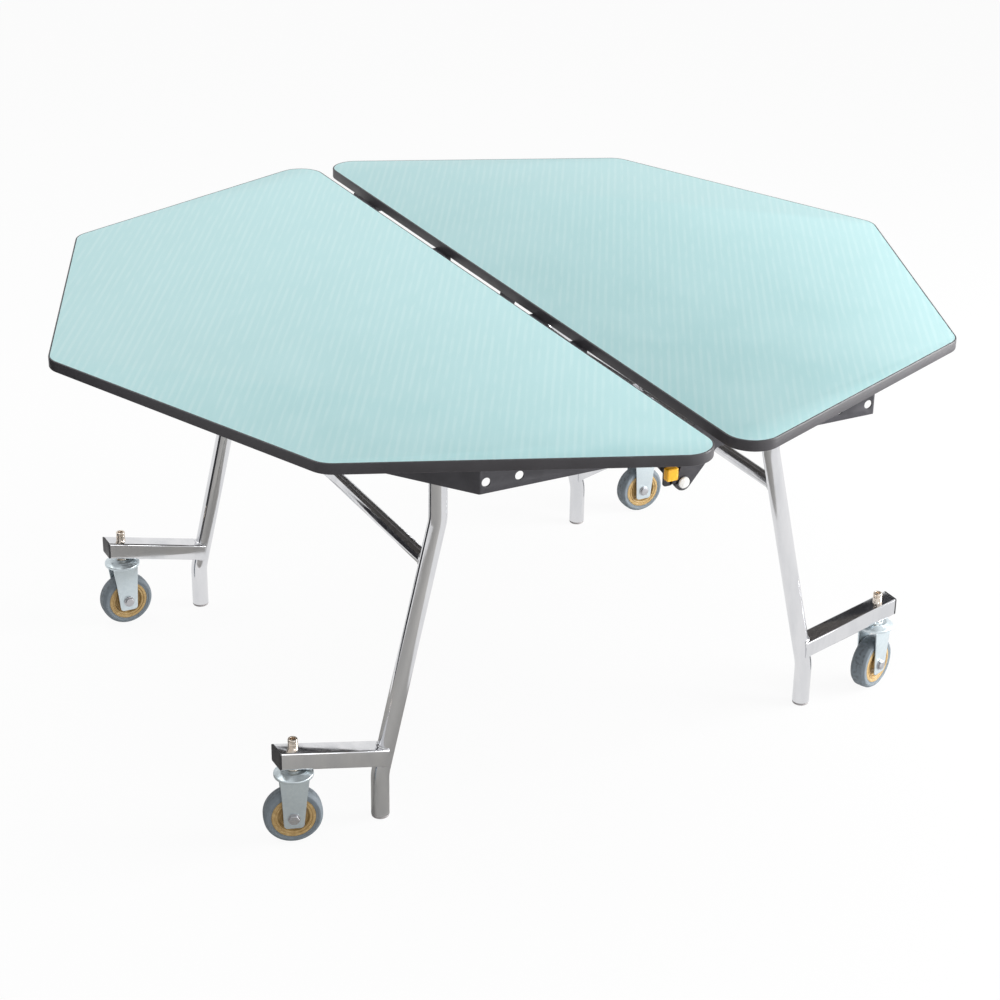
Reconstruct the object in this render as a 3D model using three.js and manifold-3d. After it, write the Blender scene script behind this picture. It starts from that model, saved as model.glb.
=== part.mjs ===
// A mobile folding table with an octagonal top in two halves.
// The halves fold down about a rod under the middle, each on its own leg frame with two casters.
// Millimetres, +Z up. The hinge rod runs along Y at X = 0, and the floor is Z = 0.
import * as THREE from 'three';
import { mergeVertices } from 'three/addons/utils/BufferGeometryUtils.js';
import Module from 'manifold-3d';

// Clearances
const SEAM = 0.3;
const RUNNING_GAP = 0.5;

// Table top
const TABLE_HEIGHT = 760;
const ACROSS_FLATS = 1524;
const HALF_GAP = 14.5;
const TOP_THICKNESS = 19;
const BAND_THICKNESS = 2.5;
const CORNER_RADIUS = 49;

// Folded sheet aprons under each half, with ears that reach down to the hinge rod
const SHEET = 3;
const APRON_DEPTH = 48;
const APRON_FLANGE = 25;
const APRON_Y = 658;
const APRON_INNER_X = 16;
const APRON_BEND_X = 367;
const APRON_WING_LENGTH = 199;
const APRON_WING_TURN = 54;
const APRON_HOLE_DIAMETER = 15;
const APRON_HOLE_DROP = 29;
const APRON_HOLE_SPACING = 58;
const EAR_RADIUS = 15;
const EAR_REACH = 62;

// Centre hinge
const HINGE_DROP = 99;
const HINGE_ROD_DIAMETER = 12;
const ROD_HEAD_DIAMETER = 18;
const ROD_HEAD_THICKNESS = 3;

// Angle rail along each hinge edge, with tabs that butt together when the table is open
const RAIL_INNER_X = 21;
const RAIL_WIDTH = 30;
const RAIL_DEPTH = 20;
const RAIL_END_GAP = 13;
const STOP_TAB_DEPTH = 12;
const STOP_TABS = [
  { fromRear: 43, length: 25 },
  { fromRear: 367, length: 51 },
  { fromRear: 757, length: 46 },
  { fromRear: 900, length: 40 },
];
const MIDDLE_EAR_THICKNESS = 4;
const MIDDLE_EAR_RADIUS = 18;

// Leg pivots
const LEG_PIVOT_X = 327;
const LEG_PIVOT_DROP = 69;
const PIVOT_SHAFT_DIAMETER = 12.7;
const SHAFT_HEAD_DIAMETER = 20;
const SHAFT_HEAD_THICKNESS = 3;
const BRACKET_THICKNESS = 4;
const BRACKET_LENGTH = 60;
const BRACKET_LOBE_RADIUS = 15;
const BRACKET_SIDE_GAP = 1.2;

// Leg frames
const LEG_DIAMETER = 31.75;
const LEG_WALL = 2;
const LEG_Y = 432;
const LEG_TOP_RISE = 16;
const LEG_BEND_HEIGHT = 545;
const LEG_BEND_RADIUS = 90;
const FOOT_X = 436;
const FOOT_BEND_HEIGHT = 85;
const GLIDE_HEIGHT = 5;
const GLIDE_PLUG_LENGTH = 18;
const CROSSBAR_DIAMETER = 25.4;
const CROSSBAR_WALL = 1.6;
const CROSSBAR_HEIGHT = 469;

// Links and hanger that keep both leg frames upright while the top folds
const LINK_HEIGHT = 500;
const LINK_THICKNESS = 4;
const LINK_END_RADIUS = 10;
const LINK_PIN_DIAMETER = 10;
const LINK_PIN_HEAD_DIAMETER = 16;
const LINK_PIN_HEAD_THICKNESS = 2;
const LINK_LUG_THICKNESS = 4;
const HANGER_THICKNESS = 6;
const HANGER_HUB_RADIUS = 14;
const HANGER_HUB_LENGTH = 24;

// Casters and the arms that carry them
const CASTER_X = 595;
const ARM_WIDTH = 38.1;
const ARM_DEPTH = 32;
const ARM_WALL = 2;
const ARM_OVERHANG = 28;
const PLUG_FLANGE = 3;
const PLUG_INSERT_LENGTH = 6;
const WHEEL_DIAMETER = 102;
const WHEEL_WIDTH = 32;
const TYRE_DEPTH = 13;
const TYRE_SHOULDER = 5;
const HUB_RIM_DEPTH = 8;
const HUB_BOSS_RADIUS = 13;
const HUB_DISH = 7;
const AXLE_DIAMETER = 10;
const AXLE_HEAD_ACROSS = 16;
const AXLE_HEAD_THICKNESS = 5;
const CASTER_TRAIL = 3;
const CASTER_TURNS = { left_front: 163, right_front: 22 };
const FORK_SHEET = 3;
const FORK_SIDE_GAP = 2;
const FORK_END_RADIUS = 16;
const FORK_SHOULDER = 48;
const HEAD_RADIUS = 34;
const HEAD_THICKNESS = 12;
const HEAD_TOP_RADIUS = 22;
const HEAD_SLOPE_HEIGHT = 4;
const HEAD_WHEEL_GAP = 24;
const NECK_LENGTH = 6.5;
const STEM_DIAMETER = 12;
const STEM_RIVET_DIAMETER = 18;
const STEM_RIVET_THICKNESS = 4;
const STEM_COLLAR_DIAMETER = 22;
const STEM_COLLAR_THICKNESS = 2.5;
const SLEEVE_DIAMETER = 17;
const SLEEVE_RISE = 19;
const SLEEVE_BORE_DIAMETER = 10;
const SLEEVE_BORE_DEPTH = 8;

// Release latch on the left half's front ear
const LATCH_PIVOT_X = 32;
const LATCH_PIVOT_DROP = 41;
const LATCH_PIN_DIAMETER = 8;
const LATCH_PIN_HEAD_DIAMETER = 14;
const LATCH_PIN_HEAD_THICKNESS = 2;
const LATCH_LEVER_WIDTH = 18;
const LATCH_LEVER_LENGTH = 57;
const LATCH_LEVER_THICKNESS = 4;
const LATCH_TOOTH_TIP_X = 17.2;
const LATCH_TOOTH_LENGTH = 12;
const LATCH_TOOTH_HEIGHT = 6;
const LATCH_TOOTH_ABOVE_ROD = 6;
const LATCH_NOTCH_DEPTH = 6;
const LATCH_NOTCH_MARGIN = 4;
const GRIP_WIDTH = 21;
const GRIP_HEIGHT = 22;
const GRIP_DEPTH = 14;
const GRIP_DROP = 32;
const GRIP_ROUNDING = 3;

// Facets round a full turn
const TUBE_SIDES = 12;
const SMALL_SIDES = 12;
const WHEEL_SIDES = 20;
const NUT_SIDES = 6;
const CORNER_STEPS = 3;
const BEND_STEPS = 1;

// Levels and places worked out from the sizes above
const UNDERSIDE = TABLE_HEIGHT - TOP_THICKNESS;
const SEAT = UNDERSIDE - SEAM;
const APRON_BOTTOM = UNDERSIDE - APRON_DEPTH;
const HINGE_Z = UNDERSIDE - HINGE_DROP;
const LEG_PIVOT_Z = UNDERSIDE - LEG_PIVOT_DROP;
const EAR_STAGGER = SHEET + RUNNING_GAP;
const RAIL_HALF_LENGTH = APRON_Y - APRON_FLANGE - RAIL_END_GAP;
const ROD_RADIUS = HINGE_ROD_DIAMETER / 2;
const SHAFT_RADIUS = PIVOT_SHAFT_DIAMETER / 2;
const LEG_RADIUS = LEG_DIAMETER / 2;
const LEG_SLOPE = (FOOT_X - LEG_PIVOT_X) / (LEG_BEND_HEIGHT - FOOT_BEND_HEIGHT);
const LEG_SLANT = Math.atan(LEG_SLOPE);
const CROSSBAR_X = LEG_PIVOT_X + (LEG_BEND_HEIGHT - CROSSBAR_HEIGHT) * LEG_SLOPE;
const HANGER_PIN_Z = LINK_HEIGHT - (LEG_PIVOT_Z - HINGE_Z);
const LINK_Y = HANGER_THICKNESS / 2 + RUNNING_GAP + LINK_THICKNESS / 2;
const LINK_OUTER_Y = LINK_Y + LINK_THICKNESS / 2 + RUNNING_GAP;
const LINK_INNER_Y = LINK_Y - LINK_THICKNESS / 2 - RUNNING_GAP;
const LINK_PIN_RADIUS = LINK_PIN_DIAMETER / 2;
const BRACKET_INNER_Y = LEG_RADIUS + BRACKET_SIDE_GAP;
const BRACKET_OUTER_Y = BRACKET_INNER_Y + BRACKET_THICKNESS;
const WHEEL_RADIUS = WHEEL_DIAMETER / 2;
const AXLE_RADIUS = AXLE_DIAMETER / 2;
const HEAD_BOTTOM = WHEEL_DIAMETER + HEAD_WHEEL_GAP;
const HEAD_TOP = HEAD_BOTTOM + HEAD_THICKNESS;
const SLEEVE_RADIUS = SLEEVE_DIAMETER / 2;
const ARM_HALF_RISE = ARM_DEPTH / 2 / Math.cos(LEG_SLANT);
const ARM_WALL_RISE = ARM_WALL / Math.cos(LEG_SLANT);
const ARM_Z_AT_CASTER = HEAD_TOP + NECK_LENGTH + ARM_HALF_RISE;
const ARM_ROOT_X =
  (LEG_PIVOT_X + (LEG_BEND_HEIGHT - ARM_Z_AT_CASTER) * LEG_SLOPE + CASTER_X * LEG_SLOPE ** 2) /
  (1 + LEG_SLOPE ** 2);
const ARM_ROOT_Z = ARM_Z_AT_CASTER - (CASTER_X - ARM_ROOT_X) * LEG_SLOPE;
const ARM_REACH = CASTER_X + ARM_OVERHANG - ARM_ROOT_X;
const SLEEVE_TOP = ARM_Z_AT_CASTER + ARM_HALF_RISE + SLEEVE_RISE;
const FORK_INNER_Y = WHEEL_WIDTH / 2 + FORK_SIDE_GAP;
const FORK_OUTER_Y = FORK_INNER_Y + FORK_SHEET;
const RIGHT_FRONT_EAR_Y = -(APRON_Y + EAR_STAGGER / 2);
const LEFT_FRONT_EAR_Y = -(APRON_Y - EAR_STAGGER / 2);
const LEVER_BACK_Y = RIGHT_FRONT_EAR_Y - SHEET / 2 - RUNNING_GAP;
const LEVER_FRONT_Y = LEVER_BACK_Y - LATCH_LEVER_THICKNESS;
const LATCH_PIVOT_Z = UNDERSIDE - LATCH_PIVOT_DROP;

const wasm = await Module();
wasm.setup();

const materials = {
  laminate: new THREE.MeshStandardMaterial({ color: 0xc1e2e4, roughness: 0.45, metalness: 0 }),
  band: new THREE.MeshStandardMaterial({ color: 0x403e42, roughness: 0.6, metalness: 0 }),
  sheet: new THREE.MeshStandardMaterial({ color: 0x3c3b40, roughness: 0.5, metalness: 0.3 }),
  chrome: new THREE.MeshStandardMaterial({ color: 0xd8d8da, roughness: 0.12, metalness: 1 }),
  stem: new THREE.MeshStandardMaterial({ color: 0xd1c2ad, roughness: 0.2, metalness: 1 }),
  zinc: new THREE.MeshStandardMaterial({ color: 0xc8d7dc, roughness: 0.3, metalness: 0.9 }),
  steel: new THREE.MeshStandardMaterial({ color: 0x9a9a9c, roughness: 0.35, metalness: 1 }),
  plug: new THREE.MeshStandardMaterial({ color: 0x232224, roughness: 0.55, metalness: 0 }),
  glide: new THREE.MeshStandardMaterial({ color: 0x8c8a8e, roughness: 0.6, metalness: 0 }),
  tyre: new THREE.MeshStandardMaterial({ color: 0x7d8c96, roughness: 0.7, metalness: 0 }),
  hub: new THREE.MeshStandardMaterial({ color: 0xbe965a, roughness: 0.5, metalness: 0 }),
  grip: new THREE.MeshStandardMaterial({ color: 0xffbe0a, roughness: 0.4, metalness: 0 }),
  lever: new THREE.MeshStandardMaterial({ color: 0x1e1e20, roughness: 0.5, metalness: 0.2 }),
};

// A centreline through given points, sampled at those points only, for sweeping a tube
class BentLine extends THREE.Curve {
  constructor(points) {
    super();
    this.points = points;
  }

  getPoint(t, target = new THREE.Vector3()) {
    const place = t * (this.points.length - 1);
    const index = Math.min(Math.floor(place), this.points.length - 2);
    return target.lerpVectors(this.points[index], this.points[index + 1], place - index);
  }

  getPointAt(u, target) {
    return this.getPoint(u, target);
  }

  getTangentAt(u, target = new THREE.Vector3()) {
    const last = this.points.length - 1;
    const index = Math.round(u * last);
    const before = this.points[Math.max(index - 1, 0)];
    const here = this.points[index];
    const after = this.points[Math.min(index + 1, last)];
    const arriving = new THREE.Vector3().subVectors(here, before).normalize();
    const leaving = new THREE.Vector3().subVectors(after, here).normalize();
    return target.addVectors(arriving, leaving).normalize();
  }
}

// A geometry as a solid, with its shared corners merged and empty triangles left out
function solid(geometry) {
  const bare = geometry.clone();
  bare.deleteAttribute('normal');
  bare.deleteAttribute('uv');
  const merged = mergeVertices(bare);
  const corners = merged.index.array;
  const triangles = [];
  for (let i = 0; i < corners.length; i += 3) {
    const [a, b, c] = corners.slice(i, i + 3);
    if (a !== b && b !== c && c !== a) {
      triangles.push(a, b, c);
    }
  }
  const mesh = new wasm.Mesh({
    numProp: 3,
    vertProperties: merged.attributes.position.array,
    triVerts: new Uint32Array(triangles),
  });
  return new wasm.Manifold(mesh);
}

function union(...pieces) {
  return pieces.reduce((whole, piece) => whole.add(piece));
}

function cut(whole, ...tools) {
  return tools.reduce((rest, tool) => rest.subtract(tool), whole);
}

function meshOf(name, body, material) {
  const { vertProperties, triVerts } = body.getMesh();
  const geometry = new THREE.BufferGeometry();
  geometry.setAttribute('position', new THREE.BufferAttribute(vertProperties, 3));
  geometry.setIndex(new THREE.BufferAttribute(triVerts, 1));
  const flat = geometry.toNonIndexed();
  flat.computeVertexNormals();
  const mesh = new THREE.Mesh(flat, material);
  mesh.name = name;
  return mesh;
}

// Simple solids

function block(x, y, z) {
  const size = [x[1] - x[0], y[1] - y[0], z[1] - z[0]];
  const middle = [x, y, z].map(([low, high]) => (low + high) / 2);
  return solid(new THREE.BoxGeometry(...size).translate(...middle));
}

function slab(shape, bottom, top) {
  const settings = { depth: top - bottom, bevelEnabled: false, curveSegments: CORNER_STEPS };
  return solid(new THREE.ExtrudeGeometry(shape, settings).translate(0, 0, bottom));
}

// An outline in X and Z made into a plate between two Y values
function plate(shape, nearY, farY) {
  const settings = { depth: farY - nearY, bevelEnabled: false, curveSegments: CORNER_STEPS };
  const geometry = new THREE.ExtrudeGeometry(shape, settings);
  return solid(geometry.rotateX(Math.PI / 2).translate(0, farY, 0));
}

function rodAlongY(radius, nearY, farY, x = 0, z = 0, sides = SMALL_SIDES) {
  const geometry = new THREE.CylinderGeometry(radius, radius, farY - nearY, sides);
  return solid(geometry.translate(x, (nearY + farY) / 2, z));
}

function rodAlongZ(radius, bottom, top, x, sides = SMALL_SIDES) {
  const geometry = new THREE.CylinderGeometry(radius, radius, top - bottom, sides).rotateX(Math.PI / 2);
  return solid(geometry.translate(x, 0, (bottom + top) / 2));
}

// A profile of [radius, height] points turned about the Z axis
function turned(profile, sides) {
  const points = profile.map(([radius, height]) => new THREE.Vector2(radius, height));
  return solid(new THREE.LatheGeometry(points, sides).rotateX(Math.PI / 2));
}

// Outlines

// A convex polygon with round corners, moved inwards by an inset that keeps the corner centres
function roundedPolygon(corners, radius, inset) {
  const shape = new THREE.Shape();
  corners.forEach((corner, index) => {
    const before = corners[(index + corners.length - 1) % corners.length];
    const after = corners[(index + 1) % corners.length];
    const toBefore = new THREE.Vector2().subVectors(before, corner).normalize();
    const toAfter = new THREE.Vector2().subVectors(after, corner).normalize();
    const halfAngle = Math.acos(toBefore.dot(toAfter)) / 2;
    const inwards = new THREE.Vector2().addVectors(toBefore, toAfter).normalize();
    const centre = inwards.multiplyScalar(radius / Math.sin(halfAngle)).add(corner);
    const start = Math.atan2(-toBefore.x, toBefore.y) + Math.PI;
    const sweep = Math.PI - 2 * halfAngle;
    shape.absarc(centre.x, centre.y, radius - inset, start, start + sweep, false);
  });
  return shape;
}

// The right half of a regular octagon cut from corner to corner, moved away from the hinge plane
function halfOctagon(inset) {
  const circumradius = ACROSS_FLATS / 2 / Math.cos(Math.PI / 8);
  const corners = [];
  for (let step = -2; step <= 2; step += 1) {
    const angle = (step * Math.PI) / 4;
    const x = HALF_GAP + circumradius * Math.cos(angle);
    corners.push(new THREE.Vector2(x, circumradius * Math.sin(angle)));
  }
  return roundedPolygon(corners, CORNER_RADIUS, inset);
}

// A lug that hangs from two top corners and ends in a round lobe about its hole
function hangingLug(left, right, centre, radius) {
  const tangent = (corner, side) => {
    const away = new THREE.Vector2().subVectors(corner, centre);
    return away.angle() + side * Math.acos(radius / away.length());
  };
  const shape = new THREE.Shape();
  shape.moveTo(right.x, right.y);
  shape.lineTo(left.x, left.y);
  shape.absarc(centre.x, centre.y, radius, tangent(left, 1), tangent(right, -1) + 2 * Math.PI, false);
  return shape;
}

// A bar with two round ends about its holes
function eyeBar(first, second, firstRadius, secondRadius) {
  const along = new THREE.Vector2().subVectors(second, first);
  const lean = Math.acos((firstRadius - secondRadius) / along.length());
  const heading = along.angle();
  const shape = new THREE.Shape();
  shape.absarc(first.x, first.y, firstRadius, heading + lean, heading - lean + 2 * Math.PI, false);
  shape.absarc(second.x, second.y, secondRadius, heading - lean, heading + lean, false);
  return shape;
}

// A strip of sheet in plan along a bent line, from one offset to another on its left-hand side
function stripOutline(points, near, far) {
  const sideways = points.map((point, index) => {
    const before = points[Math.max(index - 1, 0)];
    const after = points[Math.min(index + 1, points.length - 1)];
    const arriving = index > 0 ? new THREE.Vector2().subVectors(point, before) : null;
    const leaving = index < points.length - 1 ? new THREE.Vector2().subVectors(after, point) : null;
    const normals = [arriving, leaving].filter(Boolean).map((v) => new THREE.Vector2(-v.y, v.x).normalize());
    const middle = normals.reduce((sum, normal) => sum.add(normal), new THREE.Vector2()).normalize();
    const facing = index > 0 ? arriving : leaving;
    const square = new THREE.Vector2(-facing.y, facing.x).normalize();
    return middle.divideScalar(middle.dot(square));
  });
  const edge = (offset) => points.map((point, i) => point.clone().addScaledVector(sideways[i], offset));
  return new THREE.Shape([...edge(near), ...edge(far).reverse()]);
}

function ring(outer, inner) {
  const shape = new THREE.Shape().absarc(0, 0, outer, 0, 2 * Math.PI, false);
  shape.holes.push(new THREE.Path().absarc(0, 0, inner, 0, 2 * Math.PI, true));
  return shape;
}

// Table top

function topPanel() {
  return slab(halfOctagon(BAND_THICKNESS + SEAM), UNDERSIDE, TABLE_HEIGHT);
}

function edgeBand() {
  const outline = halfOctagon(0);
  outline.holes.push(halfOctagon(BAND_THICKNESS));
  return slab(outline, UNDERSIDE, TABLE_HEIGHT);
}

// One apron of the right half. The end is -1 for the front one and 1 for the rear one.
function apron(end) {
  const y = end * APRON_Y - EAR_STAGGER / 2;
  const turn = THREE.MathUtils.degToRad(APRON_WING_TURN);
  const bend = new THREE.Vector2(APRON_BEND_X, y);
  const wing = new THREE.Vector2(Math.cos(turn), -end * Math.sin(turn)).multiplyScalar(APRON_WING_LENGTH);
  const line = [new THREE.Vector2(APRON_INNER_X, y), bend, wing.add(bend)];
  const inwards = -end;
  const web = stripOutline(line, -SHEET / 2, SHEET / 2);
  const flange = stripOutline(line, (-inwards * SHEET) / 2, inwards * (APRON_FLANGE - SHEET / 2));
  const earLeft = new THREE.Vector2(APRON_INNER_X, SEAT);
  const earRight = new THREE.Vector2(EAR_REACH, APRON_BOTTOM);
  const ear = hangingLug(earLeft, earRight, new THREE.Vector2(0, HINGE_Z), EAR_RADIUS);
  const whole = union(
    slab(web, APRON_BOTTOM, SEAT),
    slab(flange, SEAT - SHEET, SEAT),
    plate(ear, y - SHEET / 2, y + SHEET / 2),
  );
  const holes = [-1, 1].map((side) => {
    const x = LEG_PIVOT_X + (side * APRON_HOLE_SPACING) / 2;
    return rodAlongY(APRON_HOLE_DIAMETER / 2, y - SHEET, y + SHEET, x, UNDERSIDE - APRON_HOLE_DROP);
  });
  return cut(whole, ...holes, rodAlongY(ROD_RADIUS + SEAM, y - SHEET, y + SHEET, 0, HINGE_Z));
}

function legBracket() {
  const half = BRACKET_LENGTH / 2;
  const x = [LEG_PIVOT_X - half, LEG_PIVOT_X + half];
  const left = new THREE.Vector2(x[0], SEAT);
  const right = new THREE.Vector2(x[1], SEAT);
  const pivot = new THREE.Vector2(LEG_PIVOT_X, LEG_PIVOT_Z);
  const cheek = hangingLug(left, right, pivot, BRACKET_LOBE_RADIUS);
  const whole = union(
    block(x, [-BRACKET_OUTER_Y, BRACKET_OUTER_Y], [SEAT - BRACKET_THICKNESS, SEAT]),
    plate(cheek, -BRACKET_OUTER_Y, -BRACKET_INNER_Y),
    plate(cheek, BRACKET_INNER_Y, BRACKET_OUTER_Y),
  );
  const reach = BRACKET_OUTER_Y + SEAM;
  return cut(whole, rodAlongY(SHAFT_RADIUS + SEAM, -reach, reach, LEG_PIVOT_X, LEG_PIVOT_Z));
}

// The right half's rail. The facing is 1, or -1 where the same rail is to be turned round for the left half.
function centreRail(facing) {
  const outerX = RAIL_INNER_X + RAIL_WIDTH;
  const along = [-RAIL_HALF_LENGTH, RAIL_HALF_LENGTH];
  const flange = block([RAIL_INNER_X, outerX], along, [SEAT - SHEET, SEAT]);
  const web = block([outerX - SHEET, outerX], along, [SEAT - RAIL_DEPTH, SEAT]);
  const tabs = STOP_TABS.map(({ fromRear, length }) => {
    const middle = facing * (RAIL_HALF_LENGTH - fromRear);
    const tabY = [middle - length / 2, middle + length / 2];
    return block([SEAM, RAIL_INNER_X + SHEET], tabY, [SEAT - STOP_TAB_DEPTH, SEAT]);
  });
  const left = new THREE.Vector2(RAIL_INNER_X, SEAT);
  const right = new THREE.Vector2(outerX, SEAT - RAIL_DEPTH);
  const ear = hangingLug(left, right, new THREE.Vector2(0, HINGE_Z), MIDDLE_EAR_RADIUS);
  const earNear = HANGER_HUB_LENGTH / 2 + RUNNING_GAP;
  const earFar = earNear + MIDDLE_EAR_THICKNESS;
  const whole = union(flange, web, ...tabs, plate(ear, earNear, earFar));
  return cut(whole, rodAlongY(ROD_RADIUS + SEAM, earNear - SEAM, earFar + SEAM, 0, HINGE_Z));
}

// A straight rod along Y with a round head at each end
function headedRod(radius, reach, headRadius, headThickness) {
  return union(
    rodAlongY(radius, -reach - headThickness, reach + headThickness),
    rodAlongY(headRadius, -reach - headThickness, -reach),
    rodAlongY(headRadius, reach, reach + headThickness),
  );
}

function hingeRod() {
  const reach = APRON_Y + EAR_STAGGER / 2 + SHEET / 2 + SEAM;
  return headedRod(ROD_RADIUS, reach, ROD_HEAD_DIAMETER / 2, ROD_HEAD_THICKNESS).translate(0, 0, HINGE_Z);
}

// Leg frames

// A round bend between two straight runs, as points from one tangent point to the other
function bendPoints(before, corner, after, radius) {
  const back = new THREE.Vector3().subVectors(before, corner).normalize();
  const ahead = new THREE.Vector3().subVectors(after, corner).normalize();
  const halfAngle = back.angleTo(ahead) / 2;
  const middle = new THREE.Vector3().addVectors(back, ahead).normalize();
  const centre = middle.clone().multiplyScalar(radius / Math.sin(halfAngle)).add(corner);
  const across = new THREE.Vector3().subVectors(ahead, back).normalize();
  const sweep = Math.PI / 2 - halfAngle;
  const points = [];
  for (let step = -BEND_STEPS; step <= BEND_STEPS; step += 1) {
    const angle = (step / BEND_STEPS) * sweep;
    const spoke = middle.clone().multiplyScalar(-Math.cos(angle)).addScaledVector(across, Math.sin(angle));
    points.push(spoke.multiplyScalar(radius).add(centre));
  }
  return points;
}

function legLine() {
  const top = new THREE.Vector3(LEG_PIVOT_X, 0, LEG_PIVOT_Z + LEG_TOP_RISE);
  const knee = new THREE.Vector3(LEG_PIVOT_X, 0, LEG_BEND_HEIGHT);
  const ankle = new THREE.Vector3(FOOT_X, 0, FOOT_BEND_HEIGHT);
  const foot = new THREE.Vector3(FOOT_X, 0, GLIDE_HEIGHT + SEAM);
  const upper = bendPoints(top, knee, ankle, LEG_BEND_RADIUS);
  const lower = bendPoints(knee, ankle, foot, LEG_BEND_RADIUS);
  return new BentLine([top, ...upper, ...lower, foot]);
}

function sweptLeg(section) {
  const line = legLine();
  const settings = {
    steps: line.points.length - 1,
    extrudePath: line,
    bevelEnabled: false,
    curveSegments: TUBE_SIDES / 2,
  };
  return solid(new THREE.ExtrudeGeometry(section, settings));
}

// The room that a leg takes up, a seam wider than the leg, for fitting tubes against it
function legRoom() {
  return sweptLeg(new THREE.Shape().absarc(0, 0, LEG_RADIUS + SEAM, 0, 2 * Math.PI, false));
}

function leg() {
  const tube = sweptLeg(ring(LEG_RADIUS, LEG_RADIUS - LEG_WALL));
  return cut(tube, rodAlongY(SHAFT_RADIUS + SEAM, -LEG_DIAMETER, LEG_DIAMETER, LEG_PIVOT_X, LEG_PIVOT_Z));
}

function footGlide() {
  const plugRadius = LEG_RADIUS - LEG_WALL - SEAM;
  const profile = [
    [0, 0],
    [LEG_RADIUS, 0],
    [LEG_RADIUS, GLIDE_HEIGHT],
    [plugRadius, GLIDE_HEIGHT],
    [plugRadius, GLIDE_HEIGHT + GLIDE_PLUG_LENGTH],
    [0, GLIDE_HEIGHT + GLIDE_PLUG_LENGTH],
  ];
  return turned(profile, TUBE_SIDES).translate(FOOT_X, 0, 0);
}

function pivotShaft() {
  const reach = LEG_Y + BRACKET_OUTER_Y + SEAM;
  const rod = headedRod(SHAFT_RADIUS, reach, SHAFT_HEAD_DIAMETER / 2, SHAFT_HEAD_THICKNESS);
  return rod.translate(LEG_PIVOT_X, 0, LEG_PIVOT_Z);
}

// The tube between the two legs, with a lug and pin at its middle for the link
function crossbar() {
  const radius = CROSSBAR_DIAMETER / 2;
  const axis = new THREE.Vector2(CROSSBAR_X, CROSSBAR_HEIGHT);
  const pivot = new THREE.Vector2(LEG_PIVOT_X, LINK_HEIGHT);
  const lug = eyeBar(axis, pivot, radius + LINK_LUG_THICKNESS / 2, LINK_END_RADIUS);
  const lugFar = LINK_OUTER_Y + LINK_LUG_THICKNESS;
  const headNear = LINK_INNER_Y - LINK_PIN_HEAD_THICKNESS;
  const whole = union(
    rodAlongY(radius, -LEG_Y, LEG_Y, axis.x, axis.y, TUBE_SIDES),
    plate(lug, LINK_OUTER_Y, lugFar),
    rodAlongY(LINK_PIN_RADIUS, headNear, lugFar, pivot.x, pivot.y),
    rodAlongY(LINK_PIN_HEAD_DIAMETER / 2, headNear, LINK_INNER_Y, pivot.x, pivot.y),
  );
  const bore = rodAlongY(radius - CROSSBAR_WALL, -LEG_Y, LEG_Y, axis.x, axis.y, TUBE_SIDES);
  const legs = [-LEG_Y, LEG_Y].map((y) => legRoom().translate(0, y, 0));
  return cut(whole, bore, ...legs);
}

// Links

function syncLink() {
  const outer = new THREE.Vector2(LEG_PIVOT_X, LINK_HEIGHT);
  const inner = new THREE.Vector2(0, HANGER_PIN_Z);
  const near = LINK_Y - LINK_THICKNESS / 2;
  const far = LINK_Y + LINK_THICKNESS / 2;
  const bar = plate(eyeBar(outer, inner, LINK_END_RADIUS, LINK_END_RADIUS), near, far);
  const eyes = [outer, inner].map((eye) => {
    return rodAlongY(LINK_PIN_RADIUS + SEAM, near - SEAM, far + SEAM, eye.x, eye.y);
  });
  return cut(bar, ...eyes);
}

function hanger() {
  const hub = new THREE.Vector2(0, HINGE_Z);
  const pin = new THREE.Vector2(0, HANGER_PIN_Z);
  const half = HANGER_THICKNESS / 2;
  const hubHalf = HANGER_HUB_LENGTH / 2;
  const whole = union(
    plate(eyeBar(hub, pin, HANGER_HUB_RADIUS, LINK_END_RADIUS), -half, half),
    rodAlongY(HANGER_HUB_RADIUS, -hubHalf, hubHalf, 0, HINGE_Z),
    headedRod(LINK_PIN_RADIUS, LINK_OUTER_Y, LINK_PIN_HEAD_DIAMETER / 2, LINK_PIN_HEAD_THICKNESS).translate(
      0,
      0,
      HANGER_PIN_Z,
    ),
  );
  return cut(whole, rodAlongY(ROD_RADIUS + SEAM, -hubHalf - SEAM, hubHalf + SEAM, 0, HINGE_Z));
}

// Caster arms, whose slope is square to the slanted run of the leg

// Leans a solid that runs out along X to the slope of the arm, with its ends left upright
function placedOnArm(body) {
  const lean = new THREE.Matrix4().makeShear(0, LEG_SLOPE, 0, 0, 0, 0);
  return body.transform(lean.elements).translate(ARM_ROOT_X, 0, ARM_ROOT_Z);
}

function casterArm() {
  const halfWidth = ARM_WIDTH / 2;
  const innerWidth = halfWidth - ARM_WALL;
  const innerRise = ARM_HALF_RISE - ARM_WALL_RISE;
  const outside = block([0, ARM_REACH], [-halfWidth, halfWidth], [-ARM_HALF_RISE, ARM_HALF_RISE]);
  const inside = block([-ARM_WALL, ARM_REACH + ARM_WALL], [-innerWidth, innerWidth], [-innerRise, innerRise]);
  const tube = placedOnArm(cut(outside, inside));
  return cut(tube, legRoom(), rodAlongZ(SLEEVE_RADIUS + SEAM, HEAD_TOP, SLEEVE_TOP, CASTER_X));
}

function armPlug() {
  const halfWidth = ARM_WIDTH / 2;
  const insertWidth = halfWidth - ARM_WALL - SEAM;
  const insertRise = ARM_HALF_RISE - ARM_WALL_RISE - SEAM;
  const face = ARM_REACH + SEAM;
  const whole = union(
    block([face, face + PLUG_FLANGE], [-halfWidth, halfWidth], [-ARM_HALF_RISE, ARM_HALF_RISE]),
    block([face - PLUG_INSERT_LENGTH, face], [-insertWidth, insertWidth], [-insertRise, insertRise]),
  );
  return placedOnArm(whole);
}

// Caster parts, about the stem's axis

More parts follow.
